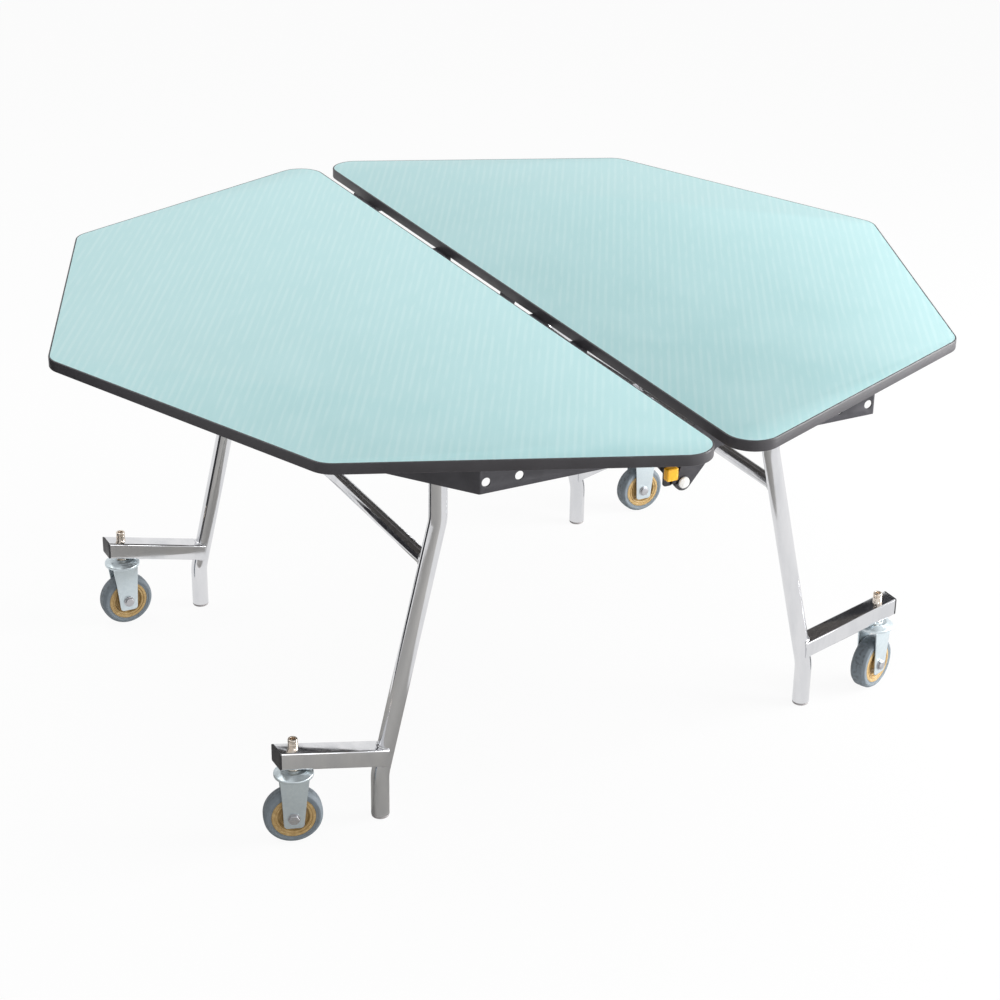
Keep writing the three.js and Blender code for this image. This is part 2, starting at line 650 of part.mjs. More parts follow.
function casterStem() {
  const rivetTop = HEAD_BOTTOM - SEAM;
  const collarBottom = HEAD_TOP + SEAM;
  const collarTop = collarBottom + STEM_COLLAR_THICKNESS;
  const profile = [
    [0, rivetTop - STEM_RIVET_THICKNESS],
    [STEM_RIVET_DIAMETER / 2, rivetTop - STEM_RIVET_THICKNESS],
    [STEM_RIVET_DIAMETER / 2, rivetTop],
    [STEM_DIAMETER / 2, rivetTop],
    [STEM_DIAMETER / 2, collarBottom],
    [STEM_COLLAR_DIAMETER / 2, collarBottom],
    [STEM_COLLAR_DIAMETER / 2, collarTop],
    [SLEEVE_RADIUS, collarTop],
    [SLEEVE_RADIUS, SLEEVE_TOP],
    [SLEEVE_BORE_DIAMETER / 2, SLEEVE_TOP],
    [SLEEVE_BORE_DIAMETER / 2, SLEEVE_TOP - SLEEVE_BORE_DEPTH],
    [0, SLEEVE_TOP - SLEEVE_BORE_DEPTH],
  ];
  return turned(profile, SMALL_SIDES);
}

function casterFork() {
  const shoulderZ = (HEAD_BOTTOM + HEAD_TOP - HEAD_SLOPE_HEIGHT) / 2;
  const left = new THREE.Vector2(-FORK_SHOULDER / 2, shoulderZ);
  const right = new THREE.Vector2(FORK_SHOULDER / 2, shoulderZ);
  const axle = new THREE.Vector2(-CASTER_TRAIL, WHEEL_RADIUS);
  const cheek = hangingLug(left, right, axle, FORK_END_RADIUS);
  const head = [
    [0, HEAD_BOTTOM],
    [HEAD_RADIUS, HEAD_BOTTOM],
    [HEAD_RADIUS, HEAD_TOP - HEAD_SLOPE_HEIGHT],
    [HEAD_TOP_RADIUS, HEAD_TOP],
    [0, HEAD_TOP],
  ];
  const whole = union(
    turned(head, WHEEL_SIDES),
    plate(cheek, -FORK_OUTER_Y, -FORK_INNER_Y),
    plate(cheek, FORK_INNER_Y, FORK_OUTER_Y),
  );
  const reach = FORK_OUTER_Y + SEAM;
  return cut(
    whole,
    rodAlongZ(STEM_DIAMETER / 2 + SEAM, HEAD_BOTTOM - SEAM, HEAD_TOP + SEAM, 0),
    rodAlongY(AXLE_RADIUS + SEAM, -reach, reach, axle.x, axle.y),
  );
}

function casterAxle() {
  const reach = FORK_OUTER_Y + SEAM;
  const headRadius = AXLE_HEAD_ACROSS / 2 / Math.cos(Math.PI / NUT_SIDES);
  const hexagon = (near, far) => rodAlongY(headRadius, near, far, 0, 0, NUT_SIDES);
  return union(
    rodAlongY(AXLE_RADIUS, -reach - AXLE_HEAD_THICKNESS, reach + AXLE_HEAD_THICKNESS),
    hexagon(-reach - AXLE_HEAD_THICKNESS, -reach),
    hexagon(reach, reach + AXLE_HEAD_THICKNESS),
  );
}

// Wheel parts, turned about the axle's axis

function wheelTyre() {
  const inner = WHEEL_RADIUS - TYRE_DEPTH;
  const half = WHEEL_WIDTH / 2;
  const profile = [
    [inner, -half],
    [WHEEL_RADIUS - TYRE_SHOULDER, -half],
    [WHEEL_RADIUS, TYRE_SHOULDER - half],
    [WHEEL_RADIUS, half - TYRE_SHOULDER],
    [WHEEL_RADIUS - TYRE_SHOULDER, half],
    [inner, half],
    [inner, -half],
  ];
  return turned(profile, WHEEL_SIDES).rotate([90, 0, 0]);
}

function wheelHub() {
  const outer = WHEEL_RADIUS - TYRE_DEPTH - SEAM;
  const inner = AXLE_RADIUS + SEAM;
  const half = WHEEL_WIDTH / 2;
  const rim = outer - HUB_RIM_DEPTH;
  const side = (sign) => [
    [inner, sign * half],
    [HUB_BOSS_RADIUS, sign * half],
    [HUB_BOSS_RADIUS, sign * (half - HUB_DISH)],
    [rim, sign * (half - HUB_DISH)],
    [rim, sign * half],
    [outer, sign * half],
  ];
  const profile = [...side(-1), ...side(1).reverse(), [inner, -half]];
  return turned(profile, WHEEL_SIDES).rotate([90, 0, 0]);
}

// Latch

// The pin on the left front apron that the lever swings on, in the table's own frame
function latchPin() {
  const front = LEVER_FRONT_Y - RUNNING_GAP;
  const headFront = front - LATCH_PIN_HEAD_THICKNESS;
  return union(
    rodAlongY(LATCH_PIN_DIAMETER / 2, headFront, LEFT_FRONT_EAR_Y, -LATCH_PIVOT_X, LATCH_PIVOT_Z),
    rodAlongY(LATCH_PIN_HEAD_DIAMETER / 2, headFront, front, -LATCH_PIVOT_X, LATCH_PIVOT_Z),
  );
}

// The notch in the right front ear that the lever's tooth swings into
function latchNotch() {
  const x = [-EAR_RADIUS - LATCH_NOTCH_MARGIN, LATCH_NOTCH_DEPTH - EAR_RADIUS];
  const half = LATCH_TOOTH_HEIGHT / 2 + LATCH_NOTCH_MARGIN;
  const middle = HINGE_Z + LATCH_TOOTH_ABOVE_ROD;
  const y = [RIGHT_FRONT_EAR_Y - SHEET, RIGHT_FRONT_EAR_Y + SHEET];
  return block(x, y, [middle - half, middle + half]);
}

function latchLever() {
  const half = LATCH_LEVER_WIDTH / 2;
  const outline = new THREE.Shape();
  outline.moveTo(-LATCH_PIVOT_X - half, LATCH_PIVOT_Z - LATCH_LEVER_LENGTH);
  outline.lineTo(-LATCH_PIVOT_X + half, LATCH_PIVOT_Z - LATCH_LEVER_LENGTH);
  outline.absarc(-LATCH_PIVOT_X, LATCH_PIVOT_Z, half, 0, Math.PI, false);
  const toothX = [-LATCH_TOOTH_TIP_X - LATCH_TOOTH_LENGTH, -LATCH_TOOTH_TIP_X];
  const toothZ = HINGE_Z + LATCH_TOOTH_ABOVE_ROD;
  const toothBack = LEFT_FRONT_EAR_Y - SHEET / 2 - RUNNING_GAP;
  const whole = union(
    plate(outline, LEVER_FRONT_Y, LEVER_BACK_Y),
    block(
      toothX,
      [LEVER_FRONT_Y, toothBack],
      [toothZ - LATCH_TOOTH_HEIGHT / 2, toothZ + LATCH_TOOTH_HEIGHT / 2],
    ),
  );
  const bore = rodAlongY(
    LATCH_PIN_DIAMETER / 2 + SEAM,
    LEVER_FRONT_Y - SEAM,
    LEVER_BACK_Y + SEAM,
    -LATCH_PIVOT_X,
    LATCH_PIVOT_Z,
  );
  return cut(whole, bore);
}

function latchGrip() {
  const middle = LATCH_PIVOT_Z - GRIP_DROP;
  const halfWidth = GRIP_WIDTH / 2;
  const halfHeight = GRIP_HEIGHT / 2;
  const corners = [
    new THREE.Vector2(-LATCH_PIVOT_X - halfWidth, middle - halfHeight),
    new THREE.Vector2(-LATCH_PIVOT_X + halfWidth, middle - halfHeight),
    new THREE.Vector2(-LATCH_PIVOT_X + halfWidth, middle + halfHeight),
    new THREE.Vector2(-LATCH_PIVOT_X - halfWidth, middle + halfHeight),
  ];
  const back = LEVER_FRONT_Y - SEAM;
  return plate(roundedPolygon(corners, GRIP_ROUNDING, 0), back - GRIP_DEPTH, back);
}

// Assembly

// One caster at its stem's place: the stem, and the fork, axle and wheel turned about it
function caster(name) {
  const group = new THREE.Group();
  const swivel = new THREE.Group();
  const wheel = new THREE.Group();
  wheel.position.set(-CASTER_TRAIL, 0, WHEEL_RADIUS);
  wheel.add(
    meshOf(`${name}_caster_axle`, casterAxle(), materials.steel),
    meshOf(`${name}_wheel_hub`, wheelHub(), materials.hub),
    meshOf(`${name}_wheel_tyre`, wheelTyre(), materials.tyre),
  );
  swivel.add(meshOf(`${name}_caster_fork`, casterFork(), materials.zinc), wheel);
  swivel.rotation.z = THREE.MathUtils.degToRad(CASTER_TURNS[name] ?? 0);
  group.add(meshOf(`${name}_caster_stem`, casterStem(), materials.stem), swivel);
  group.position.x = CASTER_X;
  return group;
}

// One leg with everything that it carries, and the bracket that it turns in
function corner(name) {
  const group = new THREE.Group();
  group.add(
    meshOf(`${name}_leg`, leg(), materials.chrome),
    meshOf(`${name}_foot_glide`, footGlide(), materials.glide),
    meshOf(`${name}_leg_bracket`, legBracket(), materials.sheet),
    meshOf(`${name}_caster_arm`, casterArm(), materials.chrome),
    meshOf(`${name}_arm_plug`, armPlug(), materials.plug),
    caster(name),
  );
  return group;
}

// One half of the table, built on the +X side. The left half is the same thing turned round.
function tableHalf(side) {
  const half = new THREE.Group();
  const facing = side === 'right' ? 1 : -1;
  half.rotation.z = facing > 0 ? 0 : Math.PI;
  const turn = (body) => (facing > 0 ? body : body.rotate([0, 0, 180]));
  for (const [place, y] of [['front', -1], ['rear', 1]]) {
    const end = facing * y;
    const legGroup = corner(`${side}_${place}`);
    legGroup.position.y = end * LEG_Y;
    let body = apron(end);
    if (place === 'front') {
      body = facing > 0 ? cut(body, latchNotch()) : union(body, turn(latchPin()));
    }
    half.add(legGroup, meshOf(`${side}_${place}_apron`, body, materials.sheet));
  }
  half.add(
    meshOf(`${side}_top_panel`, topPanel(), materials.laminate),
    meshOf(`${side}_edge_band`, edgeBand(), materials.band),
    meshOf(`${side}_centre_rail`, centreRail(facing), materials.sheet),
    meshOf(`${side}_pivot_shaft`, pivotShaft(), materials.steel),
    meshOf(`${side}_crossbar`, crossbar(), materials.chrome),
    meshOf(`${side}_sync_link`, syncLink(), materials.steel),
  );
  return half;
}

const table = new THREE.Group();
table.add(
  tableHalf('left'),
  tableHalf('right'),
  meshOf('centre_hinge_rod', hingeRod(), materials.steel),
  meshOf('centre_hanger', hanger(), materials.steel),
  meshOf('latch_lever', latchLever(), materials.lever),
  meshOf('latch_grip', latchGrip(), materials.grip),
);

export default table;
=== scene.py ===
"""Looks for a mobile folding table with an octagonal top in two halves.

Each half has a laminate board with a rim, two folded sheet aprons and a stop rail under it, and a chrome
leg frame with two casters. The halves meet at a hinge rod, a hanger and two links keep the leg frames
upright, and a latch with a yellow grip holds the table open. Sizes are in millimetres until a mesh is
made. +Z is up, the hinge rod runs along Y at X = 0, the left half is at -X and the front at -Y.
"""

import logging
import math
from dataclasses import dataclass
from enum import Enum
from functools import cache

import bmesh
import bpy
import numpy as np
from mathutils import Matrix, Vector
from mathutils.geometry import delaunay_2d_cdt


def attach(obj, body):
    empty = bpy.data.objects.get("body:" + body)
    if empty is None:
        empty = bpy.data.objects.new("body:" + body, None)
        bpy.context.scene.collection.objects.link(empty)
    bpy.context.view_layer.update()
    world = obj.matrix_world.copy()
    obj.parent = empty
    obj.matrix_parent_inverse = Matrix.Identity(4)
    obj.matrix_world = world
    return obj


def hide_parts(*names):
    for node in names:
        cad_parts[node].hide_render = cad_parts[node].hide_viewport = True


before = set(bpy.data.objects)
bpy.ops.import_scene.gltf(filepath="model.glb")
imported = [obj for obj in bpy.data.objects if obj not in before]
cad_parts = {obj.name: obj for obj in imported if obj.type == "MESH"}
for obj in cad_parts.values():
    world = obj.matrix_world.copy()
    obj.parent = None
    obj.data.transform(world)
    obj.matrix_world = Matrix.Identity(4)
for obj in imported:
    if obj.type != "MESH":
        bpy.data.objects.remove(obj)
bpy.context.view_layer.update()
LOG = logging.getLogger("folding_table")

Points = np.ndarray
Tone = tuple[int, int, int]
Spot = tuple[float, float, float]
Axes = list[list[float]]

MM = 0.001
FULL_TURN = 2 * math.pi
SHARP_ANGLE = math.radians(38)

# Below the first a length or a share counts as none, and the second keeps a division safe
TINY = 1e-6
VANISHING = 1e-9
# The share of a half-round end's radius that its corner arcs take, so that they never run into each other
ROUND_END = 0.999

# Levels and places that several sub-assemblies share
TABLE_HEIGHT = 760.0
TOP_THICKNESS = 19.0
SHEET_THICKNESS = 3.0
UNDERSIDE = TABLE_HEIGHT - TOP_THICKNESS
SEAM = 0.3
SEAT = UNDERSIDE - SEAM
HINGE_Z = 642.0
LEG_PIVOT_X = 327.0
LEG_PIVOT_Z = 672.0
LEG_Y = 432.0
LEG_RADIUS = 15.875
APRON_Y = 658.0
EAR_STAGGER = 3.5
ROD_RADIUS = 6.0
LATCH_PIVOT = (-32.0, 700.0)
LATCH_TOOTH_Z = 648.0
LINK_PIN_Z = 500.0
HANGER_PIN_Z = 470.0
CASTER_X = 595.0


class Side(Enum):
    """A half of the table, by the sign of its X."""

    LEFT = -1
    RIGHT = 1

    @property
    def label(self) -> str:
        """The word that names begin with."""
        return self.name.lower()


class Place(Enum):
    """An end of the table, by the sign of its Y."""

    FRONT = -1
    REAR = 1

    @property
    def label(self) -> str:
        """The word in the middle of names."""
        return self.name.lower()


def corner_name(side: Side, place: Place) -> str:
    """The words that the names of a corner's pieces begin with."""
    return f"{side.label}_{place.label}"


# Casters that stand swivelled, in degrees
SWIVELS = {(Side.LEFT, Place.FRONT): 163.0, (Side.RIGHT, Place.FRONT): 22.0}


# Surfaces


@dataclass
class Shell:
    """A surface of triangles in millimetres, with a wear value from 0 to 1 at each point."""

    points: Points
    triangles: Points
    wear: Points

    def placed(self, axes: Axes, origin: Spot = (0, 0, 0)) -> "Shell":
        """Carries the shell's own three directions to new ones.

        Args:
            axes: Where the shell's X, Y and Z directions go, one row each.
            origin: Where the shell's own origin goes.

        Returns:
            The shell in its new place.
        """
        points = self.points @ np.asarray(axes, float) + np.asarray(origin, float)
        return Shell(points, self.triangles, self.wear)

    def moved(self, x: float = 0, y: float = 0, z: float = 0) -> "Shell":
        """The shell shifted along the axes."""
        return Shell(self.points + np.array([x, y, z], float), self.triangles, self.wear)

    def half_turned(self) -> "Shell":
        """The shell turned half round the Z axis."""
        return Shell(self.points * np.array([-1.0, -1.0, 1.0]), self.triangles, self.wear)

    def on_half(self, side: Side) -> "Shell":
        """A shell made for the right half, turned round where it is for the left one."""
        return self if side is Side.RIGHT else self.half_turned()

    def front_to_back(self) -> "Shell":
        """The shell with its front and back changed over."""
        return self.placed([[1, 0, 0], [0, -1, 0], [0, 0, 1]])


# Stands a flat shell up in the X and Z plane, and lays one that runs along Z along Y
UPRIGHT = [[1, 0, 0], [0, 0, 1], [0, 1, 0]]
# The same, with the shell's height towards the front
TOWARDS_FRONT = [[1, 0, 0], [0, 0, 1], [0, -1, 0]]
# Stands a folded strip's line up in the Y and Z plane, with its width along X
FOLDED_ACROSS = [[0, 1, 0], [0, 0, 1], [1, 0, 0]]


def joined(*shells: Shell) -> Shell:
    """All the shells as one surface, with the points of each kept apart.

    Args:
        shells: The surfaces to put together.

    Returns:
        One surface.
    """
    counts = [len(shell.points) for shell in shells]
    starts = np.concatenate([[0], np.cumsum(counts)[:-1]]).astype(int)
    triangles = [shell.triangles + start for shell, start in zip(shells, starts)]
    return Shell(
        np.vstack([shell.points for shell in shells]),
        np.vstack(triangles),
        np.concatenate([shell.wear for shell in shells]),
    )


def welded(*parts: Shell) -> Shell:
    """Joins parts that share their edges: points at the same place become one, and empty triangles go.

    Args:
        parts: The parts, edge to edge.

    Returns:
        One closed surface.
    """
    whole = joined(*parts)
    _, first, inverse = np.unique(np.round(whole.points, 4), axis=0, return_index=True, return_inverse=True)
    triangles = inverse.reshape(-1)[whole.triangles]
    a, b, c = triangles.T
    full = (a != b) & (b != c) & (c != a)
    return Shell(whole.points[first], triangles[full], whole.wear[first])


def grid_surface(
    points: Points, wear: Points | float = 0.0, loop_rows: bool = False, loop_columns: bool = False
) -> Shell:
    """A surface over a grid of two parameters, with two triangles to each cell.

    Args:
        points: Rows by columns by 3.
        wear: One value, or one for each row.
        loop_rows: Whether the last row joins the first.
        loop_columns: Whether the last column joins the first.

    Returns:
        The surface.
    """
    rows, columns = points.shape[:2]
    index = np.arange(rows * columns).reshape(rows, columns)
    if loop_rows:
        index = np.vstack([index, index[:1]])
    if loop_columns:
        index = np.hstack([index, index[:, :1]])
    a, b, c, d = index[:-1, :-1], index[1:, :-1], index[1:, 1:], index[:-1, 1:]
    triangles = np.stack([a, b, c, a, c, d], axis=-1).reshape(-1, 3)
    spread = np.broadcast_to(np.asarray(wear, float).reshape(-1, 1), (rows, columns))
    return Shell(points.reshape(-1, 3), triangles, spread.reshape(-1).copy())


def stacked(loops: Points, heights: Points, wear: Points, loop_rows: bool = False) -> Shell:
    """A surface through closed loops at given heights.

    Args:
        loops: Rows by points by 2.
        heights: One for each row.
        wear: One value for each row.
        loop_rows: Whether the last row joins the first.

    Returns:
        The surface.
    """
    tall = np.broadcast_to(heights[:, None, None], loops.shape[:2] + (1,))
    return grid_surface(np.concatenate([loops, tall], axis=-1), wear, loop_rows, loop_columns=True)


def rounded(corners: list, radii: float | list, steps: int = 5, closed: bool = True) -> Points:
    """A line of straight edges whose corners are arcs that touch both edges.

    The centre of each arc lies on the corner's bisector, at the radius over the sine of half the corner's
    angle.

    Args:
        corners: The corner points in the plane.
        radii: One radius, or one for each corner. The ends of an open line have none.
        steps: Pieces of each arc.
        closed: Whether the last corner joins the first.

    Returns:
        The points of the line.
    """
    corner = np.asarray(corners, float)
    radius = np.broadcast_to(np.asarray(radii, float), len(corner)).copy()[:, None]
    if not closed:
        radius[[0, -1]] = 0
    back = np.roll(corner, 1, axis=0) - corner
    ahead = np.roll(corner, -1, axis=0) - corner
    back /= np.linalg.norm(back, axis=1, keepdims=True)
    ahead /= np.linalg.norm(ahead, axis=1, keepdims=True)
    half = np.arccos(np.clip((back * ahead).sum(axis=1, keepdims=True), -1, 1)) / 2
    half = np.clip(half, TINY, math.pi / 2 - VANISHING)
    middle = back + ahead
    middle /= np.maximum(np.linalg.norm(middle, axis=1, keepdims=True), VANISHING)
    centre = corner + middle * radius / np.sin(half)
    start = corner + back * radius / np.tan(half) - centre
    cross = back[:, :1] * ahead[:, 1:] - back[:, 1:] * ahead[:, :1]
    sweep = -np.sign(cross) * (math.pi - 2 * half)
    angle = np.arctan2(start[:, 1:], start[:, :1]) + sweep * np.linspace(0, 1, steps + 1)
    arcs = centre[:, None] + radius[:, None] * np.stack([np.cos(angle), np.sin(angle)], axis=-1)
    line = arcs.reshape(-1, 2)
    step = np.linalg.norm(line - np.roll(line, 1, axis=0), axis=1)
    kept = step > TINY
    if not closed:
        kept[0] = True
    return line[kept]


def rectangle(across: tuple[float, float], up: tuple[float, float]) -> list:
    """The four corners of a rectangle, from its two ends in each direction."""
    return [(across[0], up[0]), (across[1], up[0]), (across[1], up[1]), (across[0], up[1])]


def upside_down(profile: list) -> list:
    """A profile of radius and height with its heights turned over, run the other way."""
    return [(radius, -height) for radius, height in profile[::-1]]


def round_angles(count: int) -> Points:
    """Equal steps of angle round a full turn."""
    return np.arange(count) * FULL_TURN / count


def circle(centre: tuple[float, float], radius: float, sides: int = 32) -> Points:
    """Points round a circle in the plane."""
    angle = round_angles(sides)
    return np.asarray(centre, float) + radius * np.stack([np.cos(angle), np.sin(angle)], axis=-1)


def facing(loop: Points, anticlockwise: bool) -> Points:
    """The loop in the given direction, by the sign of its area.

    Args:
        loop: The loop's points in order.
        anticlockwise: The direction wanted.

    Returns:
        The loop, turned round where it ran the other way.
    """
    ahead = np.roll(loop, -1, axis=0)
    area = (loop[:, 0] * ahead[:, 1] - loop[:, 1] * ahead[:, 0]).sum()
    return loop if (area > 0) == anticlockwise else loop[::-1]


def mitres(loop: Points) -> Points:
    """For each point of a loop, the move to its left that shifts both of its edges by one millimetre.

    Args:
        loop: The loop's points in order.

    Returns:
        One move for each point.
    """
    along = np.roll(loop, -1, axis=0) - loop
    along /= np.linalg.norm(along, axis=1, keepdims=True)
    left = np.stack([-along[:, 1], along[:, 0]], axis=-1)
    before = np.roll(left, 1, axis=0)
    return (left + before) / (1 + (left * before).sum(axis=1, keepdims=True))


def split_at(loop: Points, cuts: Points) -> Points:
    """The loop with points added where its edges cross the given values of the first coordinate.

    Args:
        loop: The loop's points in order.
        cuts: The values to cut at.

    Returns:
        The loop with its new points in order.
    """
    end = np.roll(loop, -1, axis=0)
    span = end[:, :1] - loop[:, :1]
    share = (np.asarray(cuts, float)[None] - loop[:, :1]) / np.where(np.abs(span) < VANISHING, np.inf, span)
    edge, cut = np.nonzero((share > TINY) & (share < 1 - TINY))
    part = share[edge, cut]
    added = loop[edge] + (end - loop)[edge] * part[:, None]
    order = np.argsort(np.concatenate([np.arange(len(loop)), edge + part]), kind="stable")
    return np.vstack([loop, added])[order]


def inside(points: Points, loops: list[Points]) -> Points:
    """Which points lie within an odd number of the loops, by counting the edges to their right.

    Args:
        points: The points to test.
        loops: The closed loops.

    Returns:
        True for each point within.
    """
    crossings = np.zeros(len(points), int)
    for loop in loops:
        start, end = loop, np.roll(loop, -1, axis=0)
        rise = end[:, 1] - start[:, 1]
        straddles = (start[:, 1] > points[:, 1:]) != (end[:, 1] > points[:, 1:])
        slope = (end[:, 0] - start[:, 0]) / np.where(rise == 0, np.inf, rise)
        reach = start[:, 0] + (points[:, 1:] - start[:, 1]) * slope
        crossings += (straddles & (points[:, :1] < reach)).sum(axis=1)
    return crossings % 2 == 1


def flat_cap(loops: list[Points], cuts: Points) -> tuple[Points, Points]:
    """Triangles that fill an outline and leave out its holes, with edges along the cuts.

    Args:
        loops: The outline and then the holes.
        cuts: Values of the first coordinate along which the triangles have edges.

    Returns:
        The points in the plane, and the triangles.
    """
    starts = np.cumsum([0] + [len(loop) for loop in loops])
    rims = [np.arange(a, b) for a, b in zip(starts[:-1], starts[1:])]
    edges = [np.stack([rim, np.roll(rim, -1)], axis=-1) for rim in rims]
    low, high = loops[0][:, 1].min() - 1, loops[0][:, 1].max() + 1
    across = np.asarray(cuts, float)
    ends = np.stack([np.stack([across, np.full_like(across, end)], axis=-1) for end in (low, high)], axis=1)
    edges.append(starts[-1] + np.arange(2 * len(across)).reshape(-1, 2))
    points = np.vstack([*loops, ends.reshape(-1, 2)])
    places = [Vector(point) for point in points.tolist()]
    found = delaunay_2d_cdt(places, np.vstack(edges).tolist(), [], 0, TINY)
    filled = np.array([tuple(place) for place in found[0]])
    triangles = np.array(found[2])
    return filled, triangles[inside(filled[triangles].mean(axis=1), loops)]


def plate(
    outline: Points, depth: float, edge: float, holes: tuple = (), cuts: tuple = (), steps: int = 3
) -> Shell:
    """A flat plate from height 0 to its depth, with rims rounded by a quarter circle.

    A rim's row at angle t lies inwards by the edge radius times one minus the sine of t, and in from the
    face by the radius times one minus its cosine.

    Args:
        outline: The loop round the plate.
        depth: The plate's thickness.
        edge: The radius of the rims.
        holes: Loops that go through.
        cuts: Values of the first coordinate where the plate is to bend.
        steps: Pieces of each quarter circle.

    Returns:
        The plate, closed.
    """
    turn = np.linspace(0, math.pi / 2, steps + 1)
    inset = edge * (1 - np.sin(turn))
    rise = edge * (1 - np.cos(turn))
    insets = np.concatenate([inset, inset[::-1]])
    heights = np.concatenate([rise, depth - rise[::-1]])
    rubbed = np.concatenate([np.sin(2 * turn), np.sin(2 * turn)[::-1]])
    loops = [facing(outline, True), *(facing(hole, False) for hole in holes)]
    loops = [split_at(loop, np.asarray(cuts, float)) for loop in loops]
    walls, rims = [], []
    for loop in loops:
        shift = mitres(loop)
        walls.append(stacked(loop[None] + insets[:, None, None] * shift[None], heights, rubbed))
        rims.append(loop + edge * shift)
    places, triangles = flat_cap(rims, np.asarray(cuts, float))
    quiet = np.zeros(len(places))
    caps = [Shell(np.c_[places, np.full(len(places), height)], triangles, quiet) for height in (0.0, depth)]
    return welded(*walls, *caps)


def lathe(profile: Points, sides: int = 48, wear: Points | float = 0.0, loop: bool = False) -> Shell:
    """A profile of radius and height turned about the Z axis.

    Args:
        profile: Radius and height at each point.
        sides: Facets round a full turn.
        wear: One value, or one for each point of the profile.
        loop: Whether the profile closes on itself, as a ring's does.

    Returns:
        The surface, closed.
    """
    angle = round_angles(sides)
    radius, height = np.asarray(profile, float).T
    points = np.stack(
        [
            radius[:, None] * np.cos(angle),
            radius[:, None] * np.sin(angle),
            np.broadcast_to(height[:, None], (len(radius), sides)),
        ],
        axis=-1,
    )
    return welded(grid_surface(points, wear, loop_rows=loop, loop_columns=True))


def turned(
    corners: list, edges: float | tuple, steps: int, sides: int, wear: float = 0.0, ring: bool = False
) -> Shell:
    """A solid turned about the Z axis from a profile with rounded corners.

    Args:
        corners: Radius and height at each corner.
        edges: One rounding radius, or one for each corner.
        steps: Pieces of each rounding.
        sides: Facets round a full turn.
        wear: The wear on the whole of it.
        ring: Whether the profile closes on itself, clear of the axis.

    Returns:
        The solid, closed.
    """
    return lathe(rounded(corners, edges, steps, closed=ring), sides, wear, loop=ring)


def rod(radius: float, length: float, edge: float = 0.6, sides: int = 32) -> Shell:
    """A round bar along Z, centred, with rounded rims.

    Args:
        radius: The bar's radius.
        length: Its whole length.
        edge: The radius of its rims.
        sides: Facets round a full turn.

    Returns:
        The bar, closed.
    """
    half = length / 2
    corners = [(0, -half), (radius, -half), (radius, half), (0, half)]
    return turned(corners, (0, edge, edge, 0), steps=3, sides=sides)


def headed_rod(
    radius: float, reach: float, head_radius: float, head: float, edges: tuple, sides: int
) -> Shell:
    """A round rod along Z with a domed head at each end.

    Args:
        radius: The rod's radius.
        reach: The distance from the rod's middle to the back of each head.
        head_radius: The heads' radius.
        head: The heads' thickness.
        edges: The radii of a head's rim, of its back edge and of its neck.
        sides: Facets round a full turn.

    Returns:
        The rod, closed.
    """
    tip = reach + head
    upper = [(radius, reach), (head_radius, reach), (head_radius, tip), (0, tip)]
    rim, back, neck = edges
    radii = (0, rim, back, neck, neck, back, rim, 0)
    return turned(upside_down(upper) + upper, radii, steps=3, sides=sides)


def round_sweep(path: Points, radius: float, sides: int = 40) -> Shell:
    """A round tube along a line in the X and Z plane.

    A point is the line's place plus the radius times the cosine of its angle along the line's normal and
    the sine along Y. The ends are closed by rows of no radius.

    Args:
        path: The line's points, as X and Z.
        radius: The tube's radius.
        sides: Facets round a full turn.

    Returns:
        The tube, closed.
    """
    along = np.gradient(path, axis=0)
    along /= np.linalg.norm(along, axis=1, keepdims=True)
    places = np.vstack([path[:1], path, path[-1:]])
    sideways = np.stack([-along[:, 1], along[:, 0]], axis=-1)
    sideways = np.vstack([sideways[:1], sideways, sideways[-1:]])
    radii = np.concatenate([[0], np.full(len(path), radius), [0]])
    angle = round_angles(sides)
    out = radii[:, None] * np.cos(angle)
    points = np.stack(
        [
            places[:, :1] + out * sideways[:, :1],
            radii[:, None] * np.sin(angle),
            places[:, 1:] + out * sideways[:, 1:],
        ],
        axis=-1,
    )
    return welded(grid_surface(points, loop_columns=True))


def weld_bead(path: Points, radius: float, ripples: int, swell: float = 0.16, sides: int = 10) -> Shell:
    """A closed bead of weld metal round a joint.

    Its round section stands in the plane of the path's normal and the line from the path's middle, and
    its radius ripples along the path.

    Args:
        path: The joint's closed line.
        radius: The bead's radius.
        ripples: How many ripples there are along the line.
        swell: How far a ripple swells, as a share of the radius.
        sides: Facets round the bead.

    Returns:
        The bead, closed.
    """
    along = np.roll(path, -1, axis=0) - np.roll(path, 1, axis=0)
    along /= np.linalg.norm(along, axis=1, keepdims=True)
    outwards = path - path.mean(axis=0)
    outwards -= (outwards * along).sum(axis=1, keepdims=True) * along
    outwards /= np.linalg.norm(outwards, axis=1, keepdims=True)
    across = np.cross(along, outwards)
    phase = round_angles(len(path))
    size = radius * (1 + swell * np.sin(ripples * phase))[:, None, None]
    angle = round_angles(sides)
    cosine, sine = np.cos(angle)[None, :, None], np.sin(angle)[None, :, None]
    ring = cosine * outwards[:, None] + sine * across[:, None]
    return welded(grid_surface(path[:, None] + size * ring, loop_rows=True, loop_columns=True))


